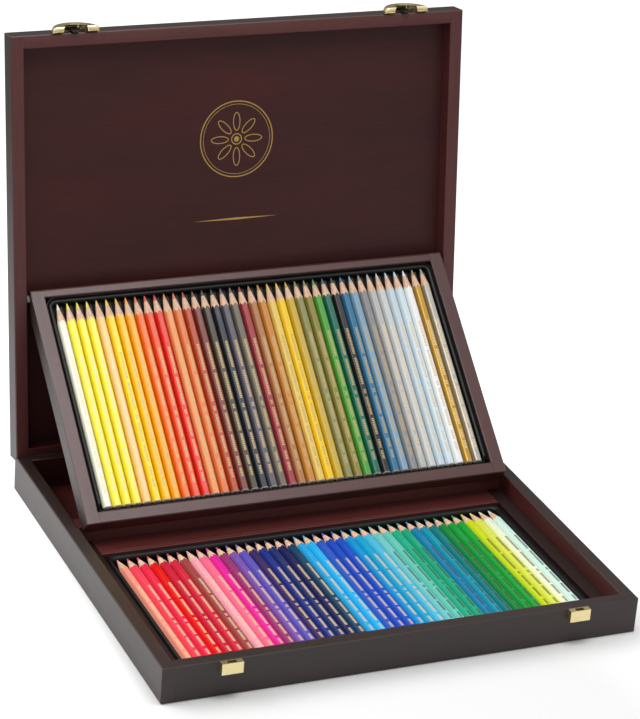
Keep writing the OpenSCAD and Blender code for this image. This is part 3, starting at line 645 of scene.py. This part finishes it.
# %% Narrow front and its dip
DIP_START, DIP, FRONT_WIDTH = 13.0, 3.2, 0.58
FRONT_BAND = 6.2  # the rim and its front corners, before they are narrowed
DIP_BAND, FOOT_OF_RIM = 3.2, 5.0
pick_all(insert)
bpy.ops.mesh.bisect(plane_co=(0, DIP_START, 0), plane_no=(0, 1, 0))
pick(insert, verts=lambda v: v.y < FRONT_BAND)
bpy.ops.transform.resize(value=(1, FRONT_WIDTH, 1), center_override=(0, 0, 0))
pick(insert, verts=lambda v: v.y < DIP_BAND and v.z > FOOT_OF_RIM)
bpy.ops.transform.translate(value=(0, 0, -DIP))
bpy.ops.object.mode_set(mode="OBJECT")
print("top of the rim, mm:", round(max(v.co.z for v in insert.data.vertices), 2))

# %% [markdown]
# The bed of the insert is one groove for each pencil, and a pencil lies on the flat bottom of its
# groove. One groove is cut and bent from a strip, and an Array modifier repeats it at the pitch of the
# row. Solidify then gives the sheet its thickness.

# %% Cradles
PITCH, ROW = 8.0, 40
BED_FRONT, BED_REAR, GROOVE_Z, RIDGE_Z = 2.6, 178.0, 3.45, 4.7
GROOVE_FLAT, GROOVE_TOP = 2.1, 3.6
WELD_MM = 0.01
cradle = flat_sheet("cradle_strip", PITCH / 2, BED_FRONT, BED_REAR, RIDGE_Z)
pick_all(cradle)
for x in (-GROOVE_TOP, -GROOVE_FLAT, GROOVE_FLAT, GROOVE_TOP):
    bpy.ops.mesh.bisect(plane_co=(x, 0, 0), plane_no=(1, 0, 0))
    bpy.ops.mesh.select_all(action="SELECT")
pick(cradle, verts=lambda v: abs(v.x) < GROOVE_FLAT + NEAR)
bpy.ops.transform.translate(value=(0, 0, GROOVE_Z - RIDGE_Z))
bpy.ops.object.mode_set(mode="OBJECT")
cradle.data.transform(Matrix.Translation((-(ROW - 1) / 2 * PITCH, 0, 0)))
repeat = cradle.modifiers.new("row of grooves", "ARRAY")
repeat.use_relative_offset, repeat.use_constant_offset = False, True
repeat.constant_offset_displace, repeat.count = (PITCH, 0, 0), ROW
repeat.use_merge_vertices, repeat.merge_threshold = True, WELD_MM
apply_all(cradle)
print("grooves:", ROW, "faces of the bed:", len(cradle.data.polygons))

# %% [markdown]
# The bed and the rim become one sheet. The joined faces are first turned to face up together, so that
# the thickness goes down from all of them.

# %% One sheet with its thickness
take_up(cradle)
insert.select_set(True)
bpy.context.view_layer.objects.active = insert
bpy.ops.object.join()
pick_all(insert)
bpy.ops.mesh.normals_make_consistent(inside=False)
bpy.ops.object.mode_set(mode="OBJECT")
thick = insert.modifiers.new("sheet", "SOLIDIFY")
thick.thickness, thick.offset = SHEET, -1
apply_all(insert)
smooth(insert, 40)
print("insert faces:", len(insert.data.polygons),
      "up-facing:", sum(f.normal.z > 0.5 for f in insert.data.polygons))

# %% [markdown]
# The same sheet lies in the base and in the tray. The place in the base is measured. The tray is
# tilted, so there the front edge and the underside are given from its pivot.

# %% Lay an insert in the base and one in the tray
BEDS = {"lower": ("base", on_base, insert_low[1], insert_low[2]),
        "upper": ("tray", on_tray, -186.2, -3.5)}
for row_name, (body, matrix, front, underside) in BEDS.items():
    copy = copy_of(insert, f"{row_name}_formed_insert")
    settle(copy, matrix @ Matrix.Translation((0, front, underside)))
    dress(copy, black_sheet)
    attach(copy, body)
    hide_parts(f"{row_name}_insert")
    print(row_name, "insert, front edge and underside in mm:", front, underside)
bpy.data.objects.remove(insert)

# %% [markdown]
# ## One pencil
#
# A coloured pencil is a hexagonal casing of cedar with a round lead, dipped in lacquer and then
# sharpened. It could be a cone stuck on a prism, but where a round cone cuts a six-sided bar the edge of
# the lacquer comes out in scallops, and a Boolean of the two gives exactly that. The corners of the bar
# are eased first, because lacquer never covers a sharp corner. The bar is drawn along y with its blunt
# end at the origin.

# %% Casing of the pencil
PENCIL_LEN, FLATS = 175.0, 6.9
CORNERS = FLATS / math.cos(math.radians(30))
LEAD_R, POINT_R, CONE_LEN = 1.5, 0.35, 18.5
SLOPE = (CORNERS / 2 - POINT_R) / CONE_LEN
LEAD_START = PENCIL_LEN - (LEAD_R - POINT_R) / SLOPE
EASED_CORNER = 0.45
ALONG_Y = Matrix.Rotation(math.radians(-90), 4, "X")
FLAT_ON_TOP = Matrix.Rotation(math.radians(30), 4, "Z")

let_go()
bpy.ops.mesh.primitive_cylinder_add(vertices=6, radius=CORNERS / 2, depth=PENCIL_LEN)
pencil = newest("pencil_master")
pencil.data.transform(Matrix.Translation((0, PENCIL_LEN / 2, 0)) @ ALONG_Y @ FLAT_ON_TOP)
pick(pencil, edges=lambda a, b: abs(a.y - b.y) > PENCIL_LEN / 2)
bpy.ops.mesh.bevel(offset=EASED_CORNER, segments=2, affect="EDGES")
bpy.ops.object.mode_set(mode="OBJECT")
print("casing, mm:", [round(v, 2) for v in pencil.dimensions])

# %% [markdown]
# The sharpener is a cone whose wide end is pulled back over the whole bar, so that what lies inside it
# stays. A cut across the finished cone marks where the bare wood ends and the lead begins.

# %% Sharpen it
SHARPENER_LEN = (CORNERS - POINT_R) / SLOPE
let_go()
bpy.ops.mesh.primitive_cone_add(vertices=40, radius1=CORNERS, radius2=POINT_R, depth=SHARPENER_LEN)
sharpener = newest("sharpener")
sharpener.data.transform(Matrix.Translation((0, PENCIL_LEN - SHARPENER_LEN / 2, 0)) @ ALONG_Y)
pick(sharpener, faces=lambda f: f.normal.y < -0.9)
bpy.ops.mesh.extrude_region_move(TRANSFORM_OT_translate={"value": (0, -PENCIL_LEN, 0)})
bpy.ops.object.mode_set(mode="OBJECT")

cut = pencil.modifiers.new("sharpen", "BOOLEAN")
cut.operation, cut.solver, cut.object = "INTERSECT", "EXACT", sharpener
apply_all(pencil)
bpy.data.objects.remove(sharpener)
pick_all(pencil)
bpy.ops.mesh.bisect(plane_co=(0, LEAD_START, 0), plane_no=(0, 1, 0))
bpy.ops.object.mode_set(mode="OBJECT")
print("pencil faces:", len(pencil.data.polygons))

# %% [markdown]
# The blunt end is sawn and its rim sanded to a slope of bare wood, with the round lead in the middle. The
# end face is inset twice, once for the slope and once down to the lead, and the inner ring is pushed out
# to a true circle. Moving the outer ring back then makes the slope.

# %% Blunt end
SANDED, SANDED_BACK = 0.7, 0.8
LEAD_RIM, LEAD_SUNK = 0.12, 0.15
OUTER_RING = 0.985
pick(pencil, faces=lambda f: f.normal.y < -0.9)
bpy.ops.mesh.inset(thickness=SANDED)
bpy.ops.mesh.inset(thickness=FLATS / 2 - SANDED - LEAD_R)
bpy.ops.transform.tosphere(value=1.0, center_override=(0, 0, 0))
bpy.ops.mesh.inset(thickness=LEAD_RIM, depth=-LEAD_SUNK)
bpy.ops.object.mode_set(mode="OBJECT")
pick(pencil, verts=lambda v: v.y < 0.01 and math.hypot(v.x, v.z) > FLATS / 2 * OUTER_RING)
bpy.ops.transform.translate(value=(0, SANDED * SANDED_BACK, 0))
bpy.ops.object.mode_set(mode="OBJECT")
print("sanded rim, mm:", SANDED, "set back:", round(SANDED * SANDED_BACK, 2))

# %% [markdown]
# A pencil is stamped along its top face with foil. Real ones carry words, and this one gets plain
# dashes instead. The top face is cut across at the ends of every dash and along both of its sides, and
# the small faces in between take the foil. A group below is where it starts, how many dashes it has,
# and the length of a dash and of the gap after it.

# %% Foil dashes
DASH_HALF_WIDTH = 1.0
DASH_GROUPS = ((11.5, 6, 0.8, 0.45), (21, 6, 0.8, 0.5), (33, 9, 1.1, 0.5), (50, 13, 0.8, 0.45),
               (69, 3, 0.8, 0.5), (77, 16, 1.0, 0.5), (104, 18, 0.85, 0.45))
dashes = []
for start, count, length, gap in DASH_GROUPS:
    starts = [start + i * (length + gap) for i in range(count)]
    dashes += [(y, y + length) for y in starts]


def on_top(face):
    """True for the faces that make up the flat top of the casing."""
    return face.normal.z > 0.99 and face.center.z > FLATS / 2 - 0.05


for x in (-DASH_HALF_WIDTH, DASH_HALF_WIDTH):
    pick(pencil, faces=on_top)
    bpy.ops.mesh.bisect(plane_co=(x, 0, 0), plane_no=(1, 0, 0))
for y in (end for dash in dashes for end in dash):
    pick(pencil, faces=lambda f: on_top(f) and abs(f.center.x) < DASH_HALF_WIDTH)
    bpy.ops.mesh.bisect(plane_co=(0, y, 0), plane_no=(0, 1, 0))
bpy.ops.object.mode_set(mode="OBJECT")
smooth(pencil, 14)
print("dashes:", len(dashes), "pencil faces:", len(pencil.data.polygons))

# %% [markdown]
# Each face is given its finish by where it lies: the lead at both ends, the sanded end, the bare cone,
# and the foil. Everything else is lacquer.

# %% Finish of each face
LACQUER, CEDAR, LEAD, FOIL, END_WOOD = range(5)


def finish_of(face):
    """The number of the material that a face of the pencil takes."""
    y, radius = face.center.y, math.hypot(face.center.x, face.center.z)
    if y > LEAD_START or (y < 0.5 and radius < LEAD_R + 0.05):
        return LEAD
    if y < 1 and face.normal.y < -0.3:
        return END_WOOD
    if face.normal.y > 0.1:
        return CEDAR
    if on_top(face) and abs(face.center.x) < DASH_HALF_WIDTH and any(a < y < b for a, b in dashes):
        return FOIL
    return LACQUER


for face in pencil.data.polygons:
    face.material_index = finish_of(face)
print("faces by finish:", [sum(f.material_index == k for f in pencil.data.polygons) for k in range(5)])

# %% [markdown]
# ## Finishes of the pencils
#
# Lacquer is a thick colour with a trace of orange peel under a thin clear coat.

# %% Lacquer
PEEL = 1.6 * MM
THIN_LACQUER = 0.90


def lacquer(name, colour, metallic=0.0):
    """Dipped lacquer with orange peel."""
    paint, shader = new_material(name, Metallic=metallic, IOR=1.5, Specular_IOR_Level=0.35,
                                 Coat_Weight=0.25, Coat_Roughness=0.15)
    peel = fine_pattern(paint, (PEEL,) * 3, Detail=2.0, Roughness=0.5)
    full = linear(colour)
    vary(paint, shader, peel, (full, shade(full, THIN_LACQUER)), (0.32, 0.40), MOST_OF_A_NOISE,
         (0.12, 0.00005))
    return paint


print("orange peel, mm:", round(PEEL / MM, 2))

# %% [markdown]
# The lead is pigment in wax, so it is a little paler than the lacquer and nearly matt, with a fine grit.

# %% Lead
GRIT = 0.5 * MM
WAX, DUSTY = 0.07, 0.82


def pigment_lead(name, colour):
    """Pigment in wax, with a fine grit."""
    lead, shader = new_material(name, IOR=1.45)
    grit = fine_pattern(lead, (GRIT,) * 3, Detail=3.0)
    full = tuple(c + WAX * (1 - c) for c in linear(colour)[:3]) + (1.0,)
    vary(lead, shader, grit, (full, shade(full, DUSTY)), (0.45, 0.75))
    return lead


print("grit of the lead, mm:", round(GRIT / MM, 2))

# %% [markdown]
# Cedar shows pink-brown streaks along the cone. The sanded ends are made near white: partly the paler
# wood that sanding leaves, and partly painted light that stands in for light falling on them from the front.

# %% Cedar
CEDAR_STREAK = (0.012, 0.0007)


def cedar_wood(name, part, light, dark, roughness):
    """Bare cedar whose grain runs along the pencil."""
    wood, shader = new_material(name, IOR=1.5)
    streaks = grain(wood, laid_flat(wood, part), CEDAR_STREAK, "y", (0, 0, 0), Detail=3.0, Roughness=0.55)
    spread = add_node(wood, "ShaderNodeMapRange", {"Value": streaks, "From Min": 0.35, "From Max": 0.68})
    vary(wood, shader, streaks, (linear(light), linear(dark)), (roughness - 0.05, roughness + 0.1),
         relief=(0.2, 0.00008), blend=spread)
    return wood


print("streak of the cedar, mm:", [round(v / MM, 2) for v in CEDAR_STREAK])

# %% [markdown]
# Stamping foil is a thin film of metal pressed on with heat. It breaks up a little over the lacquer, so
# it is never as bright as solid metal.

# %% Foil
FOIL_BREAK = 0.7 * MM
WORN_FOIL = 0.6


def stamped_foil(name, colour, metallic):
    """Thin metal foil pressed on with heat, which breaks up a little over the lacquer."""
    foil, shader = new_material(name, Metallic=metallic)
    breaks = fine_pattern(foil, (FOIL_BREAK,) * 3, Detail=2.0)
    full = linear(colour)
    vary(foil, shader, breaks, (full, shade(full, WORN_FOIL)), (0.35, 0.50))
    return foil


gold_foil = stamped_foil("gold stamping foil", "#c4a870", 0.25)
# Two copies of the same gold foil carry painted light: one painted bright, one painted dark as a reflection.
foil_painted_bright = stamped_foil("gold stamping foil, painted bright", "#f4d9ac", 0.1)
foil_painted_dark_reflection = stamped_foil("gold stamping foil, painted as a dark reflection", "#4a4a3c", 0.3)
print("foils:", [foil.name for foil in (gold_foil, foil_painted_bright, foil_painted_dark_reflection)])

# %% [markdown]
# ## Eighty pencils
#
# The paints are named from left to right, and their colours are matched to the photograph.

# %% Paint charts
UPPER = [
    ("ivory", "#fbf7df"), ("lemon", "#fdee40"), ("canary yellow", "#fde936"), ("yellow", "#fdea3c"),
    ("apricot", "#fccb80"), ("golden yellow", "#fdd800"), ("deep yellow", "#fdc006"),
    ("yellow orange", "#fba80c"), ("orange", "#ee6a12"), ("red orange", "#e8481a"),
    ("scarlet", "#e22414"), ("salmon orange", "#ec9456"), ("terracotta", "#e0763c"),
    ("russet", "#b4401a"), ("chestnut", "#74302a"), ("bistre", "#3c3222"), ("blue black", "#17202c"),
    ("slate violet", "#56505e"), ("warm grey", "#6c6354"), ("crimson brown", "#9c2c36"),
    ("light brown", "#ae7444"), ("ochre orange", "#c88430"), ("naples yellow", "#e8c862"),
    ("golden ochre", "#f6cc18"), ("olive yellow", "#ccac30"), ("khaki", "#8c8850"),
    ("olive brown", "#8a8236"), ("leaf green", "#4a9c34"), ("fir green", "#0c6450"),
    ("black", "#141416"), ("steel blue", "#2c7096"), ("light steel blue", "#82a6bc"),
    ("mid grey", "#8c8c8e"), ("light grey", "#bdbdba"), ("silver grey", "#d0d4d4"),
    ("pale blue grey", "#cbdae2"), ("ice blue", "#d8e8ee"), ("white", "#f8f8f6"),
    ("gold", "#b08a34"), ("silver", "#a8a49a"),
]
LOWER = [
    ("salmon pink", "#fa9a84"), ("coral pink", "#ea4058"), ("raspberry", "#e4264a"),
    ("signal red", "#e00c0a"), ("carmine", "#c81838"), ("crimson", "#d0243e"),
    ("rosewood", "#9c4440"), ("light pink", "#f8a8b4"), ("pink", "#f26c90"), ("magenta", "#e2209a"),
    ("plum", "#98346e"), ("violet", "#7a54ae"), ("blue violet", "#5c54b6"),
    ("dark violet", "#38285f"), ("dark blue", "#1c2f84"), ("navy", "#1c2f68"),
    ("indigo", "#171c54"), ("slate navy", "#124060"), ("cyan blue", "#1ea8e0"),
    ("sky blue", "#22b2ea"), ("periwinkle", "#2c58bc"), ("royal blue", "#1c4abc"),
    ("blue", "#1850c0"), ("cerulean", "#0a94d2"), ("azure", "#10a4cc"),
    ("turquoise", "#4cbcdc"), ("pale turquoise", "#72c8c6"), ("aqua", "#66c6b4"),
    ("mint green", "#1eac86"), ("emerald", "#14a47c"), ("teal blue", "#127eae"),
    ("teal", "#0a94ac"), ("blue green", "#0a7a7c"), ("green", "#06863c"), ("grass green", "#089a3a"),
    ("bright green", "#14a236"), ("yellow green", "#cede14"), ("light yellow green", "#dee456"),
    ("pale lime", "#f0f5d8"), ("pale mint", "#d2efe2"),
]
METALLIC_PAINTS, METALLIC = ("gold", "silver"), 0.6
print("paints:", len(UPPER), len(LOWER))

# %% [markdown]
# Each pencil is a copy of the master with a mesh of its own, laid in its groove at the pitch of the
# insert. All the pencils carry the same gold foil, and its change along a row is painted light. In the
# upper row the foil is painted bright at both ends and duller gold between them. In the lower row it is
# painted bright, and painted dark, as a reflection of the dark lid, from the pale turquoise pencil to
# the right end.

# %% Lay the rows
BLUNT_FROM_EDGE, AXIS_ABOVE_UNDERSIDE = 3.0, 7.05
# Which copy of the foil a pencil gets, by its place in the row, paints light and reflection on one real
# foil.
ROWS = {"upper": (UPPER, lambda i: foil_painted_bright if i < 5 or i > 32 else gold_foil),
        "lower": (LOWER, lambda i: foil_painted_dark_reflection if i >= 26 else foil_painted_bright)}
for row, (paints, foil_of) in ROWS.items():
    body, matrix, front, underside = BEDS[row]
    cedar = cedar_wood(f"sharpened cedar, {row} row", body, "#eccbb0", "#d0a281", 0.55)
    # The near-white ends are partly painted light.
    pale_end_painted_light = cedar_wood(f"sanded cedar end, {row} row", body, "#fbf8f2", "#e6dfd4", 0.6)
    for i, (paint, colour) in enumerate(paints):
        copy = copy_of(pencil, f"{row}_pencil_{i + 1:02d}")
        place = ((i - (ROW - 1) / 2) * PITCH, front + BLUNT_FROM_EDGE, underside + AXIS_ABOVE_UNDERSIDE)
        settle(copy, matrix @ Matrix.Translation(place))
        dress(copy, lacquer(f"pencil lacquer, {row} {paint}", colour,
                            METALLIC if paint in METALLIC_PAINTS else 0.0),
              cedar, pigment_lead(f"pigment lead, {row} {paint}", colour), foil_of(i), pale_end_painted_light)
        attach(copy, body)
        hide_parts(f"{row}_pencil_casings", f"{row}_pencil_leads")
bpy.data.objects.remove(pencil)

# %% [markdown]
# ## Ornament inside the lid
#
# The panel of such a lid is often stamped with gold foil. A plain ring with an eight-petalled rosette
# and a rule below it are general ornaments that belong to nobody. Each is cut from a flat disc or strip,
# lifted by a twentieth of a millimetre and drawn as it lies on the panel, seen from below.

# %% Ring, rosette and rule
RINGS = (("outer_ring", 31.0, 0.9), ("inner_ring", 28.4, 0.4), ("rosette_ring", 4.6, 0.8))
HEART_R = 2.2
PETALS, PETAL_PLACE, PETAL_HALF, PETAL_LINE = 8, 14.2, (3.1, 7.6), 0.7
RULE_PLACE, RULE_HALF = -65.0, (36.0, 0.9)


def foil_disc(name, radius, vertices):
    """A flat disc, or a flat many-sided shape."""
    let_go()
    bpy.ops.mesh.primitive_circle_add(vertices=vertices, radius=radius, fill_type="NGON")
    return newest(name)


def hollow(disc, line):
    """Leaves only a line of the given width round the edge of a disc."""
    pick_all(disc)
    bpy.ops.mesh.inset(thickness=line)
    bpy.ops.mesh.delete(type="FACE")
    bpy.ops.object.mode_set(mode="OBJECT")


shapes = []
for name, radius, line in RINGS:
    shapes.append(foil_disc(name, radius, 96))
    hollow(shapes[-1], line)
shapes.append(foil_disc("rosette_heart", HEART_R, 32))
for k in range(PETALS):
    petal = foil_disc(f"petal_{k}", 1.0, 32)
    petal.data.transform(Matrix.Rotation(math.radians(360 / PETALS * k), 4, "Z")
                         @ Matrix.Translation((0, PETAL_PLACE, 0)) @ Matrix.Diagonal((*PETAL_HALF, 1, 1)))
    hollow(petal, PETAL_LINE)
    shapes.append(petal)
rule = foil_disc("rule", 1.0, 4)
rule.data.transform(Matrix.Translation((0, RULE_PLACE, 0)) @ Matrix.Diagonal((*RULE_HALF, 1, 1)))
shapes.append(rule)
print("shapes of foil:", len(shapes))

# %% [markdown]
# The shapes become one piece and get the thickness of the foil. Turning it over lays it on the panel,
# which faces down when the case is shut.

# %% Lay the foil on the lid
PANEL_FACE, ORNAMENT_PLACE, FOIL_THICKNESS = 42.6, -74.65, 0.05
let_go()
for shape in shapes:
    shape.select_set(True)
bpy.context.view_layer.objects.active = shapes[0]
bpy.ops.object.join()
ornament = newest("lid_foil_ornament")
pick_all(ornament)
bpy.ops.mesh.extrude_region_move(TRANSFORM_OT_translate={"value": (0, 0, FOIL_THICKNESS)})
bpy.ops.mesh.select_all(action="SELECT")
bpy.ops.mesh.normals_make_consistent(inside=False)
settle(ornament, on_lid @ Matrix.Translation((0, ORNAMENT_PLACE, PANEL_FACE))
       @ Matrix.Rotation(math.pi, 4, "X"))
dress(ornament, stamped_foil("gold foil on the lid", "#c8a45c", 0.6))
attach(ornament, "lid")
print("ornament, mm:", [round(v / MM, 2) for v in ornament.dimensions])

# %% [markdown]
# ## Floor and light
#
# The case stands on a plain white floor in a bright room. The floor is white paint to the lamps, and a
# light of its own, seen only by the camera and by reflections, lifts its far parts to the white of
# paper. In front of the case there is none of it, so the shadow isn't washed out. In a reflection the
# floor fades with distance, because only the middle of it is lit.

# %% Floor
FLOOR_SIZE, FLOOR_BELOW = 14, 0.0002
FLOOR_WHITE = 0.80
SHADOW_SIDE, SHADOW_REACH = (-0.03, -0.27, 0), (0.16, 0.46)
NEAR_LIFT, FAR_LIFT = 0.0, 0.50
LIT_REACH, UNLIT_FLOOR = (0.35, 1.0), 0.2

let_go()
bpy.ops.mesh.primitive_plane_add(size=FLOOR_SIZE, location=(0, 0, -FLOOR_BELOW))
floor = newest("floor")
paper = bpy.data.materials.new("white studio floor")
paper.use_nodes = True
floor_nodes = paper.node_tree.nodes
floor_nodes.remove(floor_nodes["Principled BSDF"])


def seen_directly(material):
    """One for rays from the camera and for reflected or transmitted ones, zero for stray light."""
    rays = add_node(material, "ShaderNodeLightPath").outputs
    mirrored = add_node(material, "ShaderNodeMath",
                        {0: rays["Is Glossy Ray"], 1: rays["Is Transmission Ray"]}, operation="MAXIMUM")
    return add_node(material, "ShaderNodeMath", {0: rays["Is Camera Ray"], 1: mirrored},
                    operation="MAXIMUM")


spot = add_node(paper, "ShaderNodeTexCoord").outputs["Object"]
reach = add_node(paper, "ShaderNodeVectorMath", {0: spot}, operation="LENGTH").outputs["Value"]
fall = add_node(paper, "ShaderNodeMapRange",
                {"Value": reach, "From Min": LIT_REACH[0], "From Max": LIT_REACH[1],
                 "To Min": 1.0, "To Max": UNLIT_FLOOR})
tint = add_node(paper, "ShaderNodeMapRange",
                {"Value": add_node(paper, "ShaderNodeLightPath").outputs["Is Glossy Ray"],
                 "To Min": 1.0, "To Max": fall})
white = add_node(paper, "ShaderNodeBsdfDiffuse", {
    "Color": add_node(paper, "ShaderNodeMath", {0: tint, 1: FLOOR_WHITE}, operation="MULTIPLY")})
away = add_node(paper, "ShaderNodeVectorMath", {0: spot, 1: SHADOW_SIDE},
                operation="DISTANCE").outputs["Value"]
rise = add_node(paper, "ShaderNodeMapRange",
                {"Value": away, "From Min": SHADOW_REACH[0], "From Max": SHADOW_REACH[1],
                 "To Min": NEAR_LIFT, "To Max": FAR_LIFT})
seen_lift = add_node(paper, "ShaderNodeMath", {0: seen_directly(paper), 1: rise}, operation="MULTIPLY")
lift = add_node(paper, "ShaderNodeMath", {0: seen_lift, 1: tint}, operation="MULTIPLY")
glow = add_node(paper, "ShaderNodeEmission", {"Color": (1, 1, 1, 1), "Strength": lift})
both = add_node(paper, "ShaderNodeAddShader", {0: white, 1: glow})
wire(paper, both, floor_nodes["Material Output"], "Surface")
dress(floor, paper)
print("floor, m:", FLOOR_SIZE, "nodes in its material:", len(floor_nodes))

# %% [markdown]
# The room is white where the camera or a reflection sees it, and darker there at its far right end,
# which the level rims of the base mirror. To stray light it is dimmer, so that the lamps shape the case.

# %% Room
SKY = 0.36
DARK_END, DARK_REACH, DARK_ROOM = (0.43, 0.90, 0.0), (0.45, 0.95), 0.15
world = bpy.context.scene.world or bpy.data.worlds.new("room")
bpy.context.scene.world = world
world.use_nodes = True
world.node_tree.nodes.clear()
heading = add_node(world, "ShaderNodeTexCoord").outputs["Generated"]
toward = add_node(world, "ShaderNodeVectorMath", {0: heading, 1: DARK_END},
                  operation="DOT_PRODUCT").outputs["Value"]
bright = add_node(world, "ShaderNodeMapRange",
                  {"Value": toward, "From Min": DARK_REACH[0], "From Max": DARK_REACH[1],
                   "To Min": 1.0, "To Max": DARK_ROOM})
sky = add_node(world, "ShaderNodeMapRange",
               {"Value": seen_directly(world), "To Min": SKY, "To Max": bright})
room = add_node(world, "ShaderNodeBackground", {"Color": (1, 1, 1, 1), "Strength": sky})
add_node(world, "ShaderNodeOutputWorld", {"Surface": room})
print("nodes of the room:", len(world.node_tree.nodes))

# %% [markdown]
# The main light comes softly from the left and behind. It gives the floor an even white out to its far
# corners, a short shadow in front of the case, and it passes the left edge of the lid, so the left of
# the tray is brighter than the right. A small lamp overhead stands where the satin tray mirrors it.

# %% Lamps
SUN_FROM, SUN_STRENGTH, SUN_SPREAD = (-0.35, 0.45, 1.0), 1.0, math.radians(60)
SOFTBOXES = {
    "overhead softbox": {"place": (0.10, -0.25, 1.30), "target": (0, 0.05, 0.1), "side": 0.5,
                         "watts": 7.2},
    "left rear softbox": {"place": (-1.15, 0.40, 0.95), "target": (-0.30, 0.1, 0), "side": 0.8,
                          "watts": 10.5},
}


def hang_lamp(name, kind, place, target):
    """Adds a lamp that faces a point."""
    let_go()
    bpy.ops.object.light_add(type=kind, location=place)
    lamp = bpy.context.object
    lamp.name = name
    lamp.rotation_euler = (Vector(target) - Vector(place)).to_track_quat("-Z", "Y").to_euler()
    return lamp.data


sun = hang_lamp("soft sun", "SUN", SUN_FROM, (0, 0, 0))
sun.energy, sun.angle = SUN_STRENGTH, SUN_SPREAD
for name, box in SOFTBOXES.items():
    light = hang_lamp(name, "AREA", box["place"], box["target"])
    light.shape, light.size, light.size_y = "RECTANGLE", box["side"], box["side"]
    light.energy = box["watts"]
bpy.context.scene.view_settings.view_transform = "Standard"
print("lamps:", len(bpy.data.lights))
